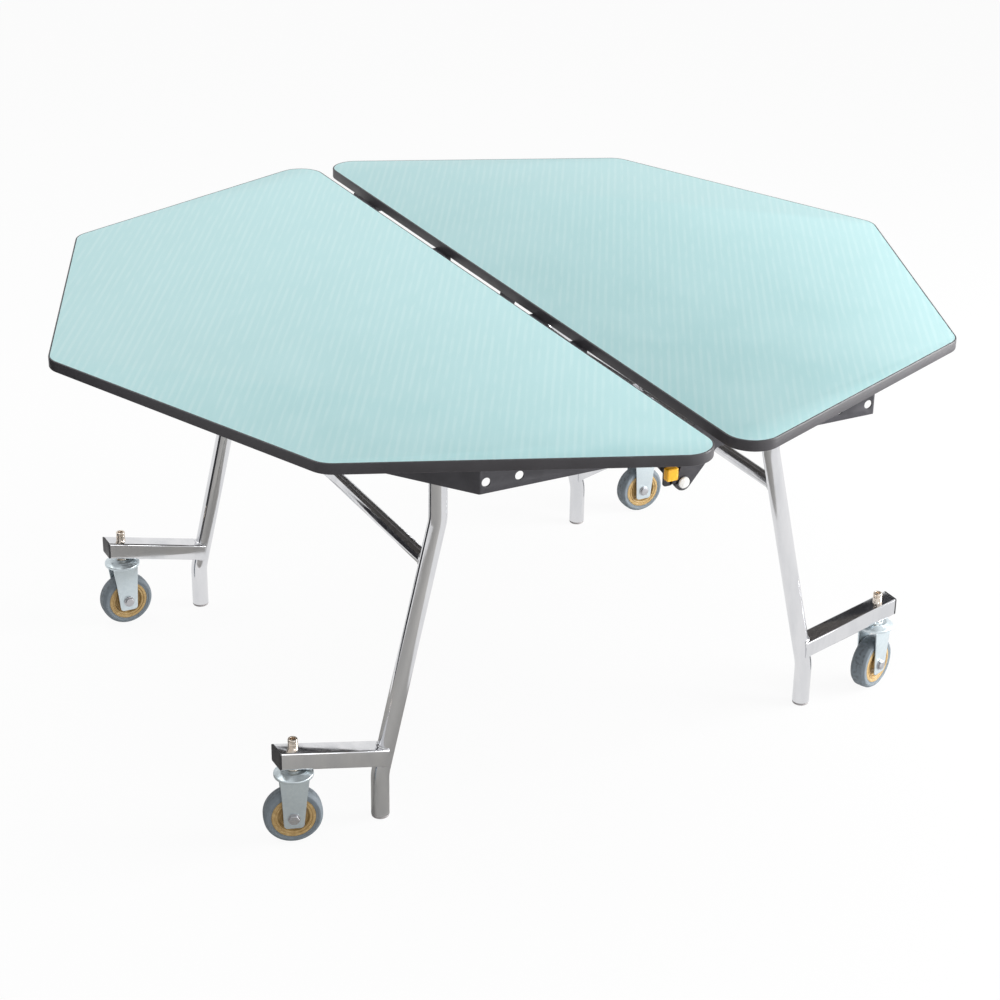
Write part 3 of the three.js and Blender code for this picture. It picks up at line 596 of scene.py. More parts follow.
class BentPath:
    """A line in a plane with straight runs and round bends, read by the distance along it."""

    def __init__(self, corners: list, radius: float) -> None:
        """Lays the line through its corners.

        Args:
            corners: The corner points.
            radius: The radius of every bend.
        """
        self.line = rounded(corners, radius, steps=8, closed=False)
        run = np.diff(self.line, axis=0)
        length = np.linalg.norm(run, axis=1)
        self.distance = np.concatenate([[0], np.cumsum(length)])
        left = np.stack([-run[:, 1], run[:, 0]], axis=-1) / length[:, None]
        self.left = np.vstack([left[:1], (left[1:] + left[:-1]) / 2, left[-1:]])

    @property
    def length(self) -> float:
        """The whole length of the line."""
        return float(self.distance[-1])

    @property
    def bends(self) -> Points:
        """The distances at which the line turns."""
        return self.distance[1:-1]

    def at(self, distance: Points, offset: Points) -> Points:
        """Points beside the line.

        Args:
            distance: How far along.
            offset: How far to the left.

        Returns:
            The points in the line's plane.
        """
        place = np.stack([np.interp(distance, self.distance, self.line[:, k]) for k in (0, 1)], axis=-1)
        left = np.stack([np.interp(distance, self.distance, self.left[:, k]) for k in (0, 1)], axis=-1)
        left /= np.linalg.norm(left, axis=1, keepdims=True)
        return place + left * np.asarray(offset)[:, None]


def bent_plate(outline: Points, depth: float, edge: float, path: BentPath, holes: tuple = ()) -> Shell:
    """A flat sheet folded along a path.

    The sheet's first coordinate becomes the distance along the path, and its thickness lies across it.

    Args:
        outline: The flat sheet's loop.
        depth: The sheet's thickness.
        edge: The radius of its rims.
        path: The line that its middle follows.
        holes: Loops that go through.

    Returns:
        The sheet with the path's plane in its first two coordinates and its own width in the third.
    """
    flat = plate(outline, depth, edge, holes, tuple(path.bends))
    folded = path.at(flat.points[:, 0], flat.points[:, 2] - depth / 2)
    return Shell(np.c_[folded, flat.points[:, 1]], flat.triangles, flat.wear)


def lug_tip(left: tuple, right: tuple, centre: tuple, radius: float) -> Points:
    """Where the lines from two corners that graze a circle would meet beyond it.

    Each line leaves its corner at the angle to the centre, turned by the arcsine of the radius over the
    distance.

    Args:
        left: The first corner.
        right: The second corner.
        centre: The circle's centre.
        radius: The circle's radius.

    Returns:
        The point where the lines meet.
    """
    directions = []
    for corner, side in ((left, -1), (right, 1)):
        reach = np.subtract(centre, corner)
        angle = math.atan2(reach[1], reach[0]) + side * math.asin(radius / np.hypot(*reach))
        directions.append((math.cos(angle), math.sin(angle)))
    both = np.array([directions[0], np.negative(directions[1])]).T
    along = np.linalg.solve(both, np.subtract(right, left))
    return np.add(left, along[0] * np.array(directions[0]))


def eye_bar(first: tuple, second: tuple, radius: float) -> Points:
    """The outline of a bar with half-round ends about two points.

    Args:
        first: The centre of one end.
        second: The centre of the other.
        radius: The radius of the ends.

    Returns:
        The outline's points in order.
    """
    along = np.subtract(second, first)
    along = along / np.linalg.norm(along)
    side = np.array([-along[1], along[0]])
    near, far = np.add(first, -radius * along), np.add(second, radius * along)
    aside = radius * side
    return rounded([near + aside, near - aside, far - aside, far + aside], radius * ROUND_END, steps=12)


# Finishes


class ShaderTree:
    """Adds nodes to one node tree and joins their sockets."""

    def __init__(self, tree: bpy.types.NodeTree) -> None:
        """Takes the tree and empties it."""
        self.tree = tree
        tree.nodes.clear()

    def node(self, kind: str, inputs: dict | None = None, **settings: object) -> bpy.types.Node:
        """Adds a node.

        Args:
            kind: The node's type.
            inputs: Values or sockets for its inputs, by name or number.
            settings: The node's own settings.

        Returns:
            The node.
        """
        made = self.tree.nodes.new(kind)
        for name, value in settings.items():
            setattr(made, name, value)
        for name, value in (inputs or {}).items():
            if isinstance(value, bpy.types.NodeSocket):
                self.tree.links.new(value, made.inputs[name])
            else:
                made.inputs[name].default_value = value
        return made

    def math(self, operation: str, *values: object) -> bpy.types.NodeSocket:
        """The result of a sum on numbers or sockets."""
        return self.node("ShaderNodeMath", dict(enumerate(values)), operation=operation).outputs[0]

    def ranged(
        self, value: bpy.types.NodeSocket, low: float, high: float, to: tuple = (0.0, 1.0)
    ) -> bpy.types.NodeSocket:
        """A value carried smoothly from one range to another, and held at its ends."""
        inputs = {"Value": value, "From Min": low, "From Max": high, "To Min": to[0], "To Max": to[1]}
        return self.node("ShaderNodeMapRange", inputs, interpolation_type="SMOOTHSTEP").outputs[0]

    def mixed(self, share: object, first: object, second: object) -> bpy.types.NodeSocket:
        """Two colours mixed by a share."""
        return self.node("ShaderNodeMix", {0: share, 6: first, 7: second}, data_type="RGBA").outputs[2]


def linear(tone: Tone) -> tuple[float, float, float, float]:
    """A colour written as on a screen, in the linear values that shaders use.

    Args:
        tone: Red, green and blue from 0 to 255.

    Returns:
        Red, green, blue and 1.
    """
    share = np.asarray(tone, float) / 255
    values = np.where(share <= 0.04045, share / 12.92, ((share + 0.055) / 1.055) ** 2.4)
    return (*values.tolist(), 1.0)


def new_group(name: str, inputs: dict, outputs: tuple) -> tuple[ShaderTree, bpy.types.Node, bpy.types.Node]:
    """Starts a shader node group.

    Args:
        name: The group's name.
        inputs: Numbers or vectors that its inputs start with, by name.
        outputs: Names of the values that it puts out.

    Returns:
        The group's tree, its input node and its output node.
    """
    group = bpy.data.node_groups.new(name, "ShaderNodeTree")
    for label, value in inputs.items():
        kind = "NodeSocketVector" if isinstance(value, tuple) else "NodeSocketFloat"
        group.interface.new_socket(label, in_out="INPUT", socket_type=kind).default_value = value
    for label in outputs:
        group.interface.new_socket(label, in_out="OUTPUT", socket_type="NodeSocketFloat")
    tree = ShaderTree(group)
    return tree, tree.node("NodeGroupInput"), tree.node("NodeGroupOutput")


@cache
def mottle_group() -> bpy.types.NodeTree:
    """Soft patches from 0 to 1, drawn out along the axes by a stretch.

    Returns:
        The node group, made once.
    """
    tree, given, result = new_group("soft_patches", {"Scale": 40.0, "Stretch": (1.0, 1.0, 1.0)}, ("Patches",))
    place = tree.node("ShaderNodeTexCoord").outputs["Object"]
    drawn = tree.node("ShaderNodeVectorMath", {0: place, 1: given.outputs["Stretch"]}, operation="MULTIPLY")
    settings = {"Vector": drawn.outputs[0], "Scale": given.outputs["Scale"], "Detail": 5.0, "Roughness": 0.6}
    noise = tree.node("ShaderNodeTexNoise", settings)
    tree.tree.links.new(tree.ranged(noise.outputs[0], low=0.3, high=0.7), result.inputs["Patches"])
    return tree.tree


@cache
def rubbed_group() -> bpy.types.NodeTree:
    """Where rims are rubbed bare: the wear on the mesh, broken up by fine noise.

    Returns:
        The node group, made once.
    """
    tree, given, result = new_group("rubbed_rims", {"Amount": 0.5, "Scale": 180.0}, ("Rubbed",))
    place = tree.node("ShaderNodeTexCoord").outputs["Object"]
    noise = tree.node("ShaderNodeTexNoise", {"Vector": place, "Scale": given.outputs["Scale"], "Detail": 6.0})
    wear = tree.node("ShaderNodeAttribute", attribute_name="wear").outputs["Fac"]
    reach = tree.math("MULTIPLY", wear, tree.ranged(noise.outputs[0], low=0.42, high=0.68))
    tree.tree.links.new(tree.math("MULTIPLY", reach, given.outputs["Amount"]), result.inputs["Rubbed"])
    return tree.tree


class Relief(Enum):
    """The kind of fine relief on a surface."""

    PEEL = "soft pits of sprayed paint"
    GRAIN = "pebbles of moulded plastic and rubber"
    DRAWN = "lines left by drawing or polishing"


@cache
def relief_group(kind: Relief) -> bpy.types.NodeTree:
    """The height of a fine relief, from 0 to 1, on the object's own coordinates.

    Args:
        kind: The relief's pattern.

    Returns:
        The node group, made once for each pattern.
    """
    tree, given, result = new_group(f"relief_{kind.name.lower()}", {"Scale": 600.0}, ("Height",))
    place, scale = tree.node("ShaderNodeTexCoord").outputs["Object"], given.outputs["Scale"]
    if kind is Relief.GRAIN:
        texture = tree.node("ShaderNodeTexVoronoi", {"Vector": place, "Scale": scale}, feature="SMOOTH_F1")
    elif kind is Relief.DRAWN:
        drawn_out = (1.0, 1.0, 0.03)
        lines = tree.node("ShaderNodeVectorMath", {0: place, 1: drawn_out}, operation="MULTIPLY")
        texture = tree.node("ShaderNodeTexNoise", {"Vector": lines.outputs[0], "Scale": scale})
    else:
        texture = tree.node("ShaderNodeTexNoise", {"Vector": place, "Scale": scale, "Detail": 3.0})
    tree.tree.links.new(texture.outputs[0], result.inputs["Height"])
    return tree.tree


@dataclass(frozen=True)
class Finish:
    """A surface of two tones in soft patches, with rubbed rims, uneven gloss and a fine relief."""

    name: str
    tone: Tone
    second_tone: Tone
    rubbed_tone: Tone
    rubbed: float
    gloss_range: tuple[float, float]
    metallic: float = 0.0
    patch_scale: float = 30.0
    stretch: tuple[float, float, float] = (1.0, 1.0, 1.0)
    relief: Relief = Relief.PEEL
    relief_scale: float = 700.0
    relief_depth: float = 0.00006
    coat: float = 0.0

    def colour(self, tree: ShaderTree, patches: bpy.types.NodeSocket) -> bpy.types.NodeSocket:
        """The colour before rims are rubbed.

        Args:
            tree: The material's nodes.
            patches: The soft patches, from 0 to 1.

        Returns:
            The colour's socket.
        """
        return tree.mixed(patches, linear(self.tone), linear(self.second_tone))

    @cache
    def material(self) -> bpy.types.Material:
        """The finish as a Blender material, made once.

        Returns:
            The material.
        """
        made = bpy.data.materials.new(self.name)
        made.use_nodes = True
        tree = ShaderTree(made.node_tree)
        spread = {"Scale": self.patch_scale, "Stretch": self.stretch}
        patches = tree.node("ShaderNodeGroup", spread, node_tree=mottle_group()).outputs[0]
        rubbed = tree.node("ShaderNodeGroup", {"Amount": self.rubbed}, node_tree=rubbed_group()).outputs[0]
        colour = tree.mixed(rubbed, self.colour(tree, patches), linear(self.rubbed_tone))
        scale = {"Scale": self.relief_scale}
        height = tree.node("ShaderNodeGroup", scale, node_tree=relief_group(self.relief)).outputs[0]
        raised = {"Height": height, "Distance": self.relief_depth, "Strength": 1.0}
        bump = tree.node("ShaderNodeBump", raised)
        shader = tree.node(
            "ShaderNodeBsdfPrincipled",
            {
                "Base Color": colour,
                "Roughness": tree.ranged(patches, 0.0, 1.0, self.gloss_range),
                "Metallic": self.metallic,
                "Normal": bump.outputs[0],
                "Coat Weight": self.coat,
            },
        )
        tree.node("ShaderNodeOutputMaterial", {"Surface": shader.outputs[0]})
        return made


@dataclass(frozen=True)
class LaminateFinish(Finish):
    """A laminate printed with fine pale streaks that run one way and fade in and out along their length."""

    streak_tone: Tone = (206, 234, 235)
    streak_spacing: float = 0.0136
    streak_heading: float = 59.6
    streak_share: float = 0.4
    streak_breaks: tuple[float, float, float] = (14.0, 120.0, 1.0)
    streak_start: float = -0.4
    break_range: tuple[float, float] = (0.3, 0.62)

    def colour(self, tree: ShaderTree, patches: bpy.types.NodeSocket) -> bpy.types.NodeSocket:
        """The streaks over the soft patches.

        Along the heading the streaks are broken by noise drawn out that way, and across it they follow a
        sine wave.

        Args:
            tree: The material's nodes.
            patches: The soft patches, from 0 to 1.

        Returns:
            The colour's socket.
        """
        ground = super().colour(tree, patches)
        place = tree.node("ShaderNodeTexCoord").outputs["Object"]
        turn = (0.0, 0.0, -math.radians(self.streak_heading))
        turned = tree.node("ShaderNodeMapping", {"Vector": place, "Rotation": turn}).outputs[0]
        across = tree.node("ShaderNodeSeparateXYZ", {0: turned}).outputs[1]
        wave = tree.math("SINE", tree.math("MULTIPLY", across, FULL_TURN / self.streak_spacing))
        drawn = tree.node("ShaderNodeVectorMath", {0: turned, 1: self.streak_breaks}, operation="MULTIPLY")
        broken = tree.node("ShaderNodeTexNoise", {"Vector": drawn.outputs[0], "Scale": 1.0, "Detail": 3.0})
        kept = tree.ranged(broken.outputs[0], *self.break_range)
        streak = tree.math("MULTIPLY", tree.ranged(wave, self.streak_start, 1.0), kept)
        share = tree.math("MULTIPLY", streak, self.streak_share)
        return tree.mixed(share, ground, linear(self.streak_tone))


LAMINATE = LaminateFinish(
    "aqua_laminate", (179, 221, 223), (185, 224, 226), (208, 236, 236), 0.4, (0.34, 0.42),
    patch_scale=6.0, relief=Relief.GRAIN, relief_scale=1500.0, relief_depth=0.00003,
)
BACKING = Finish(
    "backing_sheet", (74, 70, 68), (84, 80, 77), (60, 56, 54), 0.4, (0.6, 0.75),
    patch_scale=18.0, stretch=(1.0, 0.2, 1.0), relief_scale=900.0,
)
RIM = Finish(
    "charcoal_rim", (50, 48, 52), (56, 54, 58), (96, 92, 97), 0.6, (0.4, 0.48),
    patch_scale=22.0, relief=Relief.GRAIN, relief_scale=1300.0, relief_depth=0.00008,
)
SHEET_PAINT = Finish(
    "charcoal_powder_coat", (58, 57, 62), (68, 67, 72), (150, 148, 150), 0.6, (0.32, 0.46),
    metallic=0.15, relief_scale=1100.0, relief_depth=0.00009,
)
CHROME = Finish(
    "bright_chrome", (222, 222, 224), (210, 211, 214), (236, 236, 238), 0.5, (0.07, 0.16),
    metallic=1.0, patch_scale=26.0, stretch=(1.0, 1.0, 0.25), relief=Relief.DRAWN, relief_scale=900.0,
    relief_depth=0.000006,
)
STEM_PLATE = Finish(
    "yellowed_plate", (222, 215, 207), (206, 190, 172), (232, 228, 222), 0.6, (0.14, 0.28),
    metallic=1.0, patch_scale=120.0, relief=Relief.DRAWN, relief_scale=1200.0, relief_depth=0.00002,
)
ZINC = Finish(
    "bluish_zinc", (206, 216, 220), (197, 208, 213), (224, 230, 232), 0.5, (0.3, 0.4),
    metallic=0.85, patch_scale=140.0, relief_scale=1500.0, relief_depth=0.00004,
)
STEEL = Finish(
    "plated_steel", (192, 192, 194), (172, 172, 176), (212, 212, 214), 0.5, (0.26, 0.4),
    metallic=1.0, patch_scale=90.0, stretch=(0.3, 1.0, 1.0), relief=Relief.DRAWN, relief_scale=1000.0,
    relief_depth=0.00002,
)
BLACK_PLASTIC = Finish(
    "black_plastic", (34, 33, 35), (44, 43, 46), (84, 82, 84), 0.5, (0.42, 0.56),
    relief=Relief.GRAIN, relief_scale=1600.0, relief_depth=0.00006,
)
GREY_NYLON = Finish(
    "grey_nylon", (172, 168, 168), (158, 154, 155), (176, 172, 172), 0.6, (0.4, 0.56),
    patch_scale=120.0, relief=Relief.GRAIN, relief_scale=1400.0, relief_depth=0.00006,
)
PALE_NYLON = Finish(
    "pale_nylon", (232, 231, 229), (222, 221, 219), (240, 240, 239), 0.5, (0.34, 0.46),
    patch_scale=140.0, relief=Relief.GRAIN, relief_scale=1600.0, relief_depth=0.00004,
)
TYRE_RUBBER = Finish(
    "grey_rubber", (108, 117, 124), (118, 127, 134), (84, 90, 95), 0.9, (0.55, 0.72),
    patch_scale=90.0, relief=Relief.GRAIN, relief_scale=1500.0, relief_depth=0.00008,
)
HUB_PLASTIC = Finish(
    "ochre_hub", (180, 150, 98), (164, 133, 82), (202, 175, 124), 0.7, (0.36, 0.52),
    patch_scale=110.0, relief_scale=1200.0, relief_depth=0.00006,
)
GRIP_PLASTIC = Finish(
    "yellow_grip", (255, 188, 8), (250, 178, 4), (255, 206, 70), 0.6, (0.28, 0.4),
    patch_scale=160.0, relief=Relief.GRAIN, relief_scale=1800.0, relief_depth=0.00004, coat=0.2,
)
LEVER_PAINT = Finish(
    "black_enamel", (30, 30, 33), (38, 38, 42), (120, 120, 124), 0.5, (0.34, 0.48),
    metallic=0.1, relief_scale=1200.0, relief_depth=0.00006,
)


def make_piece(
    name: str, body: str, finish: Finish, shells: list[Shell], nodes: tuple = ()
) -> bpy.types.Object:
    """Makes one piece of the table.

    Args:
        name: The piece's name.
        body: The CAD body that it moves with.
        finish: Its surface.
        shells: Its closed surfaces, in millimetres.
        nodes: The CAD nodes that it stands for.

    Returns:
        The piece's object.
    """
    whole = joined(*shells)
    mesh = bpy.data.meshes.new(name)
    mesh.from_pydata((whole.points * MM).tolist(), [], whole.triangles.tolist())
    mesh.attributes.new("wear", "FLOAT", "POINT").data.foreach_set("value", whole.wear.astype(np.float32))
    outwards = bmesh.new()
    outwards.from_mesh(mesh)
    bmesh.ops.recalc_face_normals(outwards, faces=outwards.faces)
    outwards.to_mesh(mesh)
    outwards.free()
    mesh.shade_smooth()
    mesh.set_sharp_from_angle(angle=SHARP_ANGLE)
    mesh.materials.append(finish.material())
    made = bpy.data.objects.new(name, mesh)
    bpy.context.scene.collection.objects.link(made)
    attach(made, body)
    if nodes:
        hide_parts(*nodes)
    LOG.info("%s: %d triangles on %s", name, len(whole.triangles), body)
    return made


# Sub-assemblies


@dataclass
class TableTop:
    """One half's board with its rim and the screws that go up into it."""

    side: Side
    across_flats: float = 1524.0
    half_gap: float = 14.5
    rim_thickness: float = 2.5
    rim_rounding: float = 1.7
    corner_radius: float = 49.0
    board_edge: float = 0.5
    least_rise_of_laminate: float = 0.5
    screw_radius: float = 5.0
    screw_height: float = 3.2
    screw_root: float = 1.0
    screw_edges: tuple = (0, 0.3, 1.6, 0.3, 0.2, 0)
    recess_depth: float = 1.6
    recess_mouth: float = 2.25
    recess_floor: float = 1.5
    flange_screws_x: tuple = (90, 200, 300)
    flange_screw_inset: float = 15.0
    rail_screw_x: float = 36.0
    rail_screws_y: tuple = (-560, -400, -90, 90, 340, 470)
    bracket_screws_x: tuple = (-22, 22)
    bracket_screws_y: tuple = (-8, 8)

    def outline(self) -> Points:
        """Half of a regular octagon cut from corner to corner and moved off the hinge line.

        Its corners are at equal steps of an eighth of a turn, at half the width over the cosine of a
        sixteenth of a turn, and are then rounded.

        Returns:
            The right half's outline.
        """
        reach = self.across_flats / 2 / math.cos(math.pi / 8)
        angle = np.arange(-2, 3) * math.pi / 4
        corners = np.stack([self.half_gap + reach * np.cos(angle), reach * np.sin(angle)], axis=-1)
        return rounded(corners, self.corner_radius, steps=16)

    def board(self) -> Shell:
        """The laminate and its core.

        Returns:
            The board in its place.
        """
        loop = self.outline()
        inner = loop + (self.rim_thickness + SEAM) * mitres(loop)
        return plate(inner, TOP_THICKNESS, self.board_edge).moved(z=UNDERSIDE).on_half(self.side)

    def rim(self) -> Shell:
        """A strip round the board whose outer edges are rounded; each row is the outline moved inwards.

        Returns:
            The strip in its place.
        """
        thick, curve = self.rim_thickness, self.rim_rounding
        corners = [(0, 0), (0, TOP_THICKNESS), (thick, TOP_THICKNESS), (thick, 0)]
        section = rounded(corners, [curve, curve, SEAM, SEAM], steps=5)
        loop = self.outline()
        flat = loop[None] + section[:, :1, None] * mitres(loop)[None]
        share = np.clip(section[:, 0] / curve, 0, 1)
        rubbed = 4 * share * (1 - share)
        return stacked(flat, section[:, 1] + UNDERSIDE, rubbed, loop_rows=True).on_half(self.side)

    def screw_places(self) -> Points:
        """Where screws stand under the half: in the aprons' flanges, the rail and the leg brackets.

        Returns:
            The screws' places in plan, for the right half.
        """
        ends = (-1, 1)
        flange_y = APRON_Y - self.flange_screw_inset
        places = [(x, end * flange_y) for end in ends for x in self.flange_screws_x]
        places += [(self.rail_screw_x, y) for y in self.rail_screws_y]
        for end in ends:
            for x in self.bracket_screws_x:
                places += [(LEG_PIVOT_X + x, end * LEG_Y + y) for y in self.bracket_screws_y]
        return np.array(places, float)

    def screws(self) -> Shell:
        """Domed screw heads with a recess, hanging from the sheet that they hold.

        Returns:
            All the half's screw heads.
        """
        top, radius = self.screw_height, self.screw_radius
        floor = top - self.recess_depth
        corners = [
            (0, -self.screw_root),
            (radius, -self.screw_root),
            (radius, top),
            (self.recess_mouth, top),
            (self.recess_floor, floor),
            (0, floor),
        ]
        profile = rounded(corners, self.screw_edges, steps=3, closed=False)
        head = lathe(profile * np.array([1, -1]), sides=14, wear=0.5)
        level = SEAT - SHEET_THICKNESS
        heads = [head.moved(x, y, level) for x, y in self.screw_places().tolist()]
        return joined(*heads).on_half(self.side)

    def build(self) -> None:
        """Makes the board, the rim and the screws."""
        side = self.side.label
        body = f"{side}_top"
        panel = (f"{side}_top_panel",)
        board = make_piece(f"{side}_board", body, LAMINATE, [self.board()], panel)
        board.data.materials.append(BACKING.material())
        normals = np.empty(len(board.data.polygons) * 3, np.float32)
        board.data.polygons.foreach_get("normal", normals)
        below = (normals.reshape(-1, 3)[:, 2] < self.least_rise_of_laminate).astype(np.int32)
        board.data.polygons.foreach_set("material_index", below)
        make_piece(f"{side}_rim", body, RIM, [self.rim()], (f"{side}_edge_band",))
        make_piece(f"{side}_fixing_screws", body, STEEL, [self.screws()])


@dataclass
class Apron:
    """A folded sheet under a half's edge, with an ear that reaches down to the hinge rod."""

    side: Side
    place: Place
    sheet: float = SHEET_THICKNESS
    rim: float = 0.7
    depth: float = 48.0
    flange: float = 25.0
    inner_x: float = 16.0
    bend_x: float = 367.0
    bend_radius: float = 3.2
    wing_length: float = 199.0
    wing_turn: float = 54.0
    hole_radius: float = 7.5
    hole_drop: float = 29.0
    hole_spacing: float = 58.0
    ear_radius: float = 15.0
    ear_reach: float = 62.0
    web_corners: tuple = (14.0, 7.0, 2.0)
    ear_corner: float = 4.0
    lead: float = 80.0
    notch_x: float = -9.0
    notch_half: float = 7.0
    notch_tolerance: float = 0.001
    pin_root_y: float = -656.2
    pin_radius: float = 4.0
    pin_neck: float = 9.8
    pin_reach: float = 12.2
    pin_dome: float = 0.4
    pin_head_radius: float = 7.0
    pin_edges: tuple = (0, 0, 0.2, 0.5, 0.9, 0)

    @property
    def end(self) -> int:
        """The sign of Y of this apron before its half is turned round."""
        return self.place.value * self.side.value

    @property
    def y(self) -> float:
        """The middle of the sheet before its half is turned round."""
        return self.end * APRON_Y - EAR_STAGGER / 2

    def path(self, start: float) -> BentPath:
        """The sheet's line in plan, from a starting X to the end of its wing.

        Args:
            start: The X that the line starts from.

        Returns:
            The line in plan.
        """
        turn = math.radians(self.wing_turn)
        wing = np.array([math.cos(turn), -self.end * math.sin(turn)]) * self.wing_length
        bend = np.array([self.bend_x, self.y])
        return BentPath([(start, self.y), bend, bend + wing], self.bend_radius)

    def web_outline(self, length: float) -> Points:
        """The flat sheet: a strip with an ear whose edges graze the circle round the rod.

        Args:
            length: The length of the sheet's line.

        Returns:
            The flat sheet's outline.
        """
        bottom = UNDERSIDE - self.depth
        left, right = (self.inner_x, SEAT), (self.ear_reach, bottom)
        tip = lug_tip(left, right, (0, HINGE_Z), self.ear_radius)
        corners = [left, tip, right, (length - self.lead, bottom), (length - self.lead, SEAT)]
        loop = rounded(corners, [self.ear_corner, self.ear_radius, *self.web_corners], steps=12)
        if self.side is Side.RIGHT and self.place is Place.FRONT:
            loop = self.notched(loop)
        return loop + np.array([self.lead, 0])

    def notched(self, loop: Points) -> Points:
        """The loop with the latch's notch cut in from the ear's far edge.

        Args:
            loop: The flat sheet's outline.

        Returns:
            The outline with its notch.
        """
        low, high = LATCH_TOOTH_Z - self.notch_half, LATCH_TOOTH_Z + self.notch_half
        cut = split_at(loop[:, ::-1], np.array([low, high]))[:, ::-1]
        inner_half = self.notch_half - self.notch_tolerance
        within = (np.abs(cut[:, 1] - LATCH_TOOTH_Z) < inner_half) & (cut[:, 0] < 0)
        kept = cut[~within]
        below = int(np.argmin(np.abs(kept[:, 1] - low) + np.maximum(kept[:, 0], 0)))
        return np.vstack([np.roll(kept, -below, axis=0), [(self.notch_x, high), (self.notch_x, low)]])

    def build(self) -> None:
        """Makes the sheet with its flange, and the latch's pin on the left front one."""
        path = self.path(-self.lead)
        holes = [circle((self.lead, HINGE_Z), ROD_RADIUS + SEAM)]
        for side in (-1, 1):
            x = LEG_PIVOT_X + side * self.hole_spacing / 2
            holes.append(circle((self.lead + x, UNDERSIDE - self.hole_drop), self.hole_radius))
        web = bent_plate(self.web_outline(path.length), self.sheet, self.rim, path, tuple(holes))
        shells = [shell.on_half(self.side) for shell in (web, self.top_flange())]
        if self.side is Side.LEFT and self.place is Place.FRONT:
            shells.append(self.latch_pin())
        name, body = corner_name(self.side, self.place), f"{self.side.label}_top"
        make_piece(f"{name}_apron_sheet", body, SHEET_PAINT, shells, (f"{name}_apron",))

    def top_flange(self) -> Shell:
        """The strip turned in under the board, between the sheet's line and the same line moved inwards.

        Returns:
            The strip, for the right half.
        """
        path = self.path(self.inner_x)
        inwards = -self.end
        near = path.at(path.distance, np.zeros_like(path.distance))
        far = path.at(path.distance, np.full_like(path.distance, inwards * (self.flange - self.sheet / 2)))
        loop = np.vstack([near, far[::-1]])
        return plate(loop, self.sheet, self.rim).moved(z=SEAT - self.sheet)

    def latch_pin(self) -> Shell:
        """The headed pin that the latch swings on.

        Returns:
            The pin in its place.
        """
        corners = [
            (0, 0),
            (self.pin_radius, 0),
            (self.pin_radius, self.pin_neck),
            (self.pin_head_radius, self.pin_neck),
            (self.pin_head_radius, self.pin_reach),
            (0, self.pin_reach + self.pin_dome),
        ]
        x, z = LATCH_PIVOT
        pin = turned(corners, self.pin_edges, steps=3, sides=28, wear=0.4)
        return pin.placed(TOWARDS_FRONT, (x, self.pin_root_y, z))


@dataclass
class StopRail:
    """The angle rail along a half's hinge edge, with stop tabs and an ear at its middle."""

    side: Side
    sheet: float = SHEET_THICKNESS
    rim: float = 0.6
    inner_x: float = 21.0
    width: float = 30.0
    depth: float = 20.0
    half_length: float = 620.0
    bend_radius: float = 4.0
    corner_radius: float = 3.0
    tab_depth: float = 12.0
    tab_corner: float = 2.0
    tab_edge: float = 1.0
    tabs: tuple = ((577, 25), (253, 51), (-137, 46), (-280, 40))
    ear_radius: float = 18.0
    ear_thickness: float = 4.0
    ear_gap: float = 12.5
    ear_corners: tuple = (2.0, 6.0, 1.0)

    @property
    def outer_x(self) -> float:
        """The far side of the rail."""
        return self.inner_x + self.width

    def angle(self) -> Shell:
        """The strip folded into an angle.

        Returns:
            The angle, for the right half.
        """
        level = SEAT - self.sheet / 2
        far = self.outer_x - self.sheet / 2
        path = BentPath([(self.inner_x, level), (far, level), (far, SEAT - self.depth)], self.bend_radius)
        corners = rectangle((0, path.length), (-self.half_length, self.half_length))
        strip = rounded(corners, self.corner_radius, steps=4)
        return bent_plate(strip, self.sheet, self.rim, path).placed(UPRIGHT)

    def tab(self, y: float, span: float) -> Shell:
        """A stop tab, by the middle of its place along the rail and its length.

        Args:
            y: The tab's middle along the rail.
            span: Its length.

        Returns:
            The tab, for the right half.
        """
        corners = rectangle((SEAM, self.inner_x + self.sheet), (-span / 2, span / 2))
        block = plate(rounded(corners, self.tab_corner, steps=4), self.tab_depth, self.tab_edge)
        return block.moved(y=self.side.value * y, z=SEAT - self.tab_depth)

    def ear(self) -> Shell:
        """The plate at the rail's middle that reaches down to the hinge rod.

        Returns:
            The ear, for the right half.
        """
        left, right = (self.inner_x, SEAT), (self.outer_x, SEAT - self.depth)
        tip = lug_tip(left, right, (0, HINGE_Z), self.ear_radius)
        near, *far = self.ear_corners
        outline = rounded([left, tip, right, (self.outer_x, SEAT)], [near, self.ear_radius, *far], steps=10)
        hole = circle((0, HINGE_Z), ROD_RADIUS + SEAM)
        return plate(outline, self.ear_thickness, self.rim, (hole,)).placed(UPRIGHT, (0, self.ear_gap, 0))

    def build(self) -> None:
        """Makes the rail."""
        shells = [self.angle(), *(self.tab(y, span) for y, span in self.tabs), self.ear()]
        turned = [shell.on_half(self.side) for shell in shells]
        side = self.side.label
        rail = (f"{side}_centre_rail",)
        make_piece(f"{side}_stop_rail", f"{side}_top", SHEET_PAINT, turned, rail)


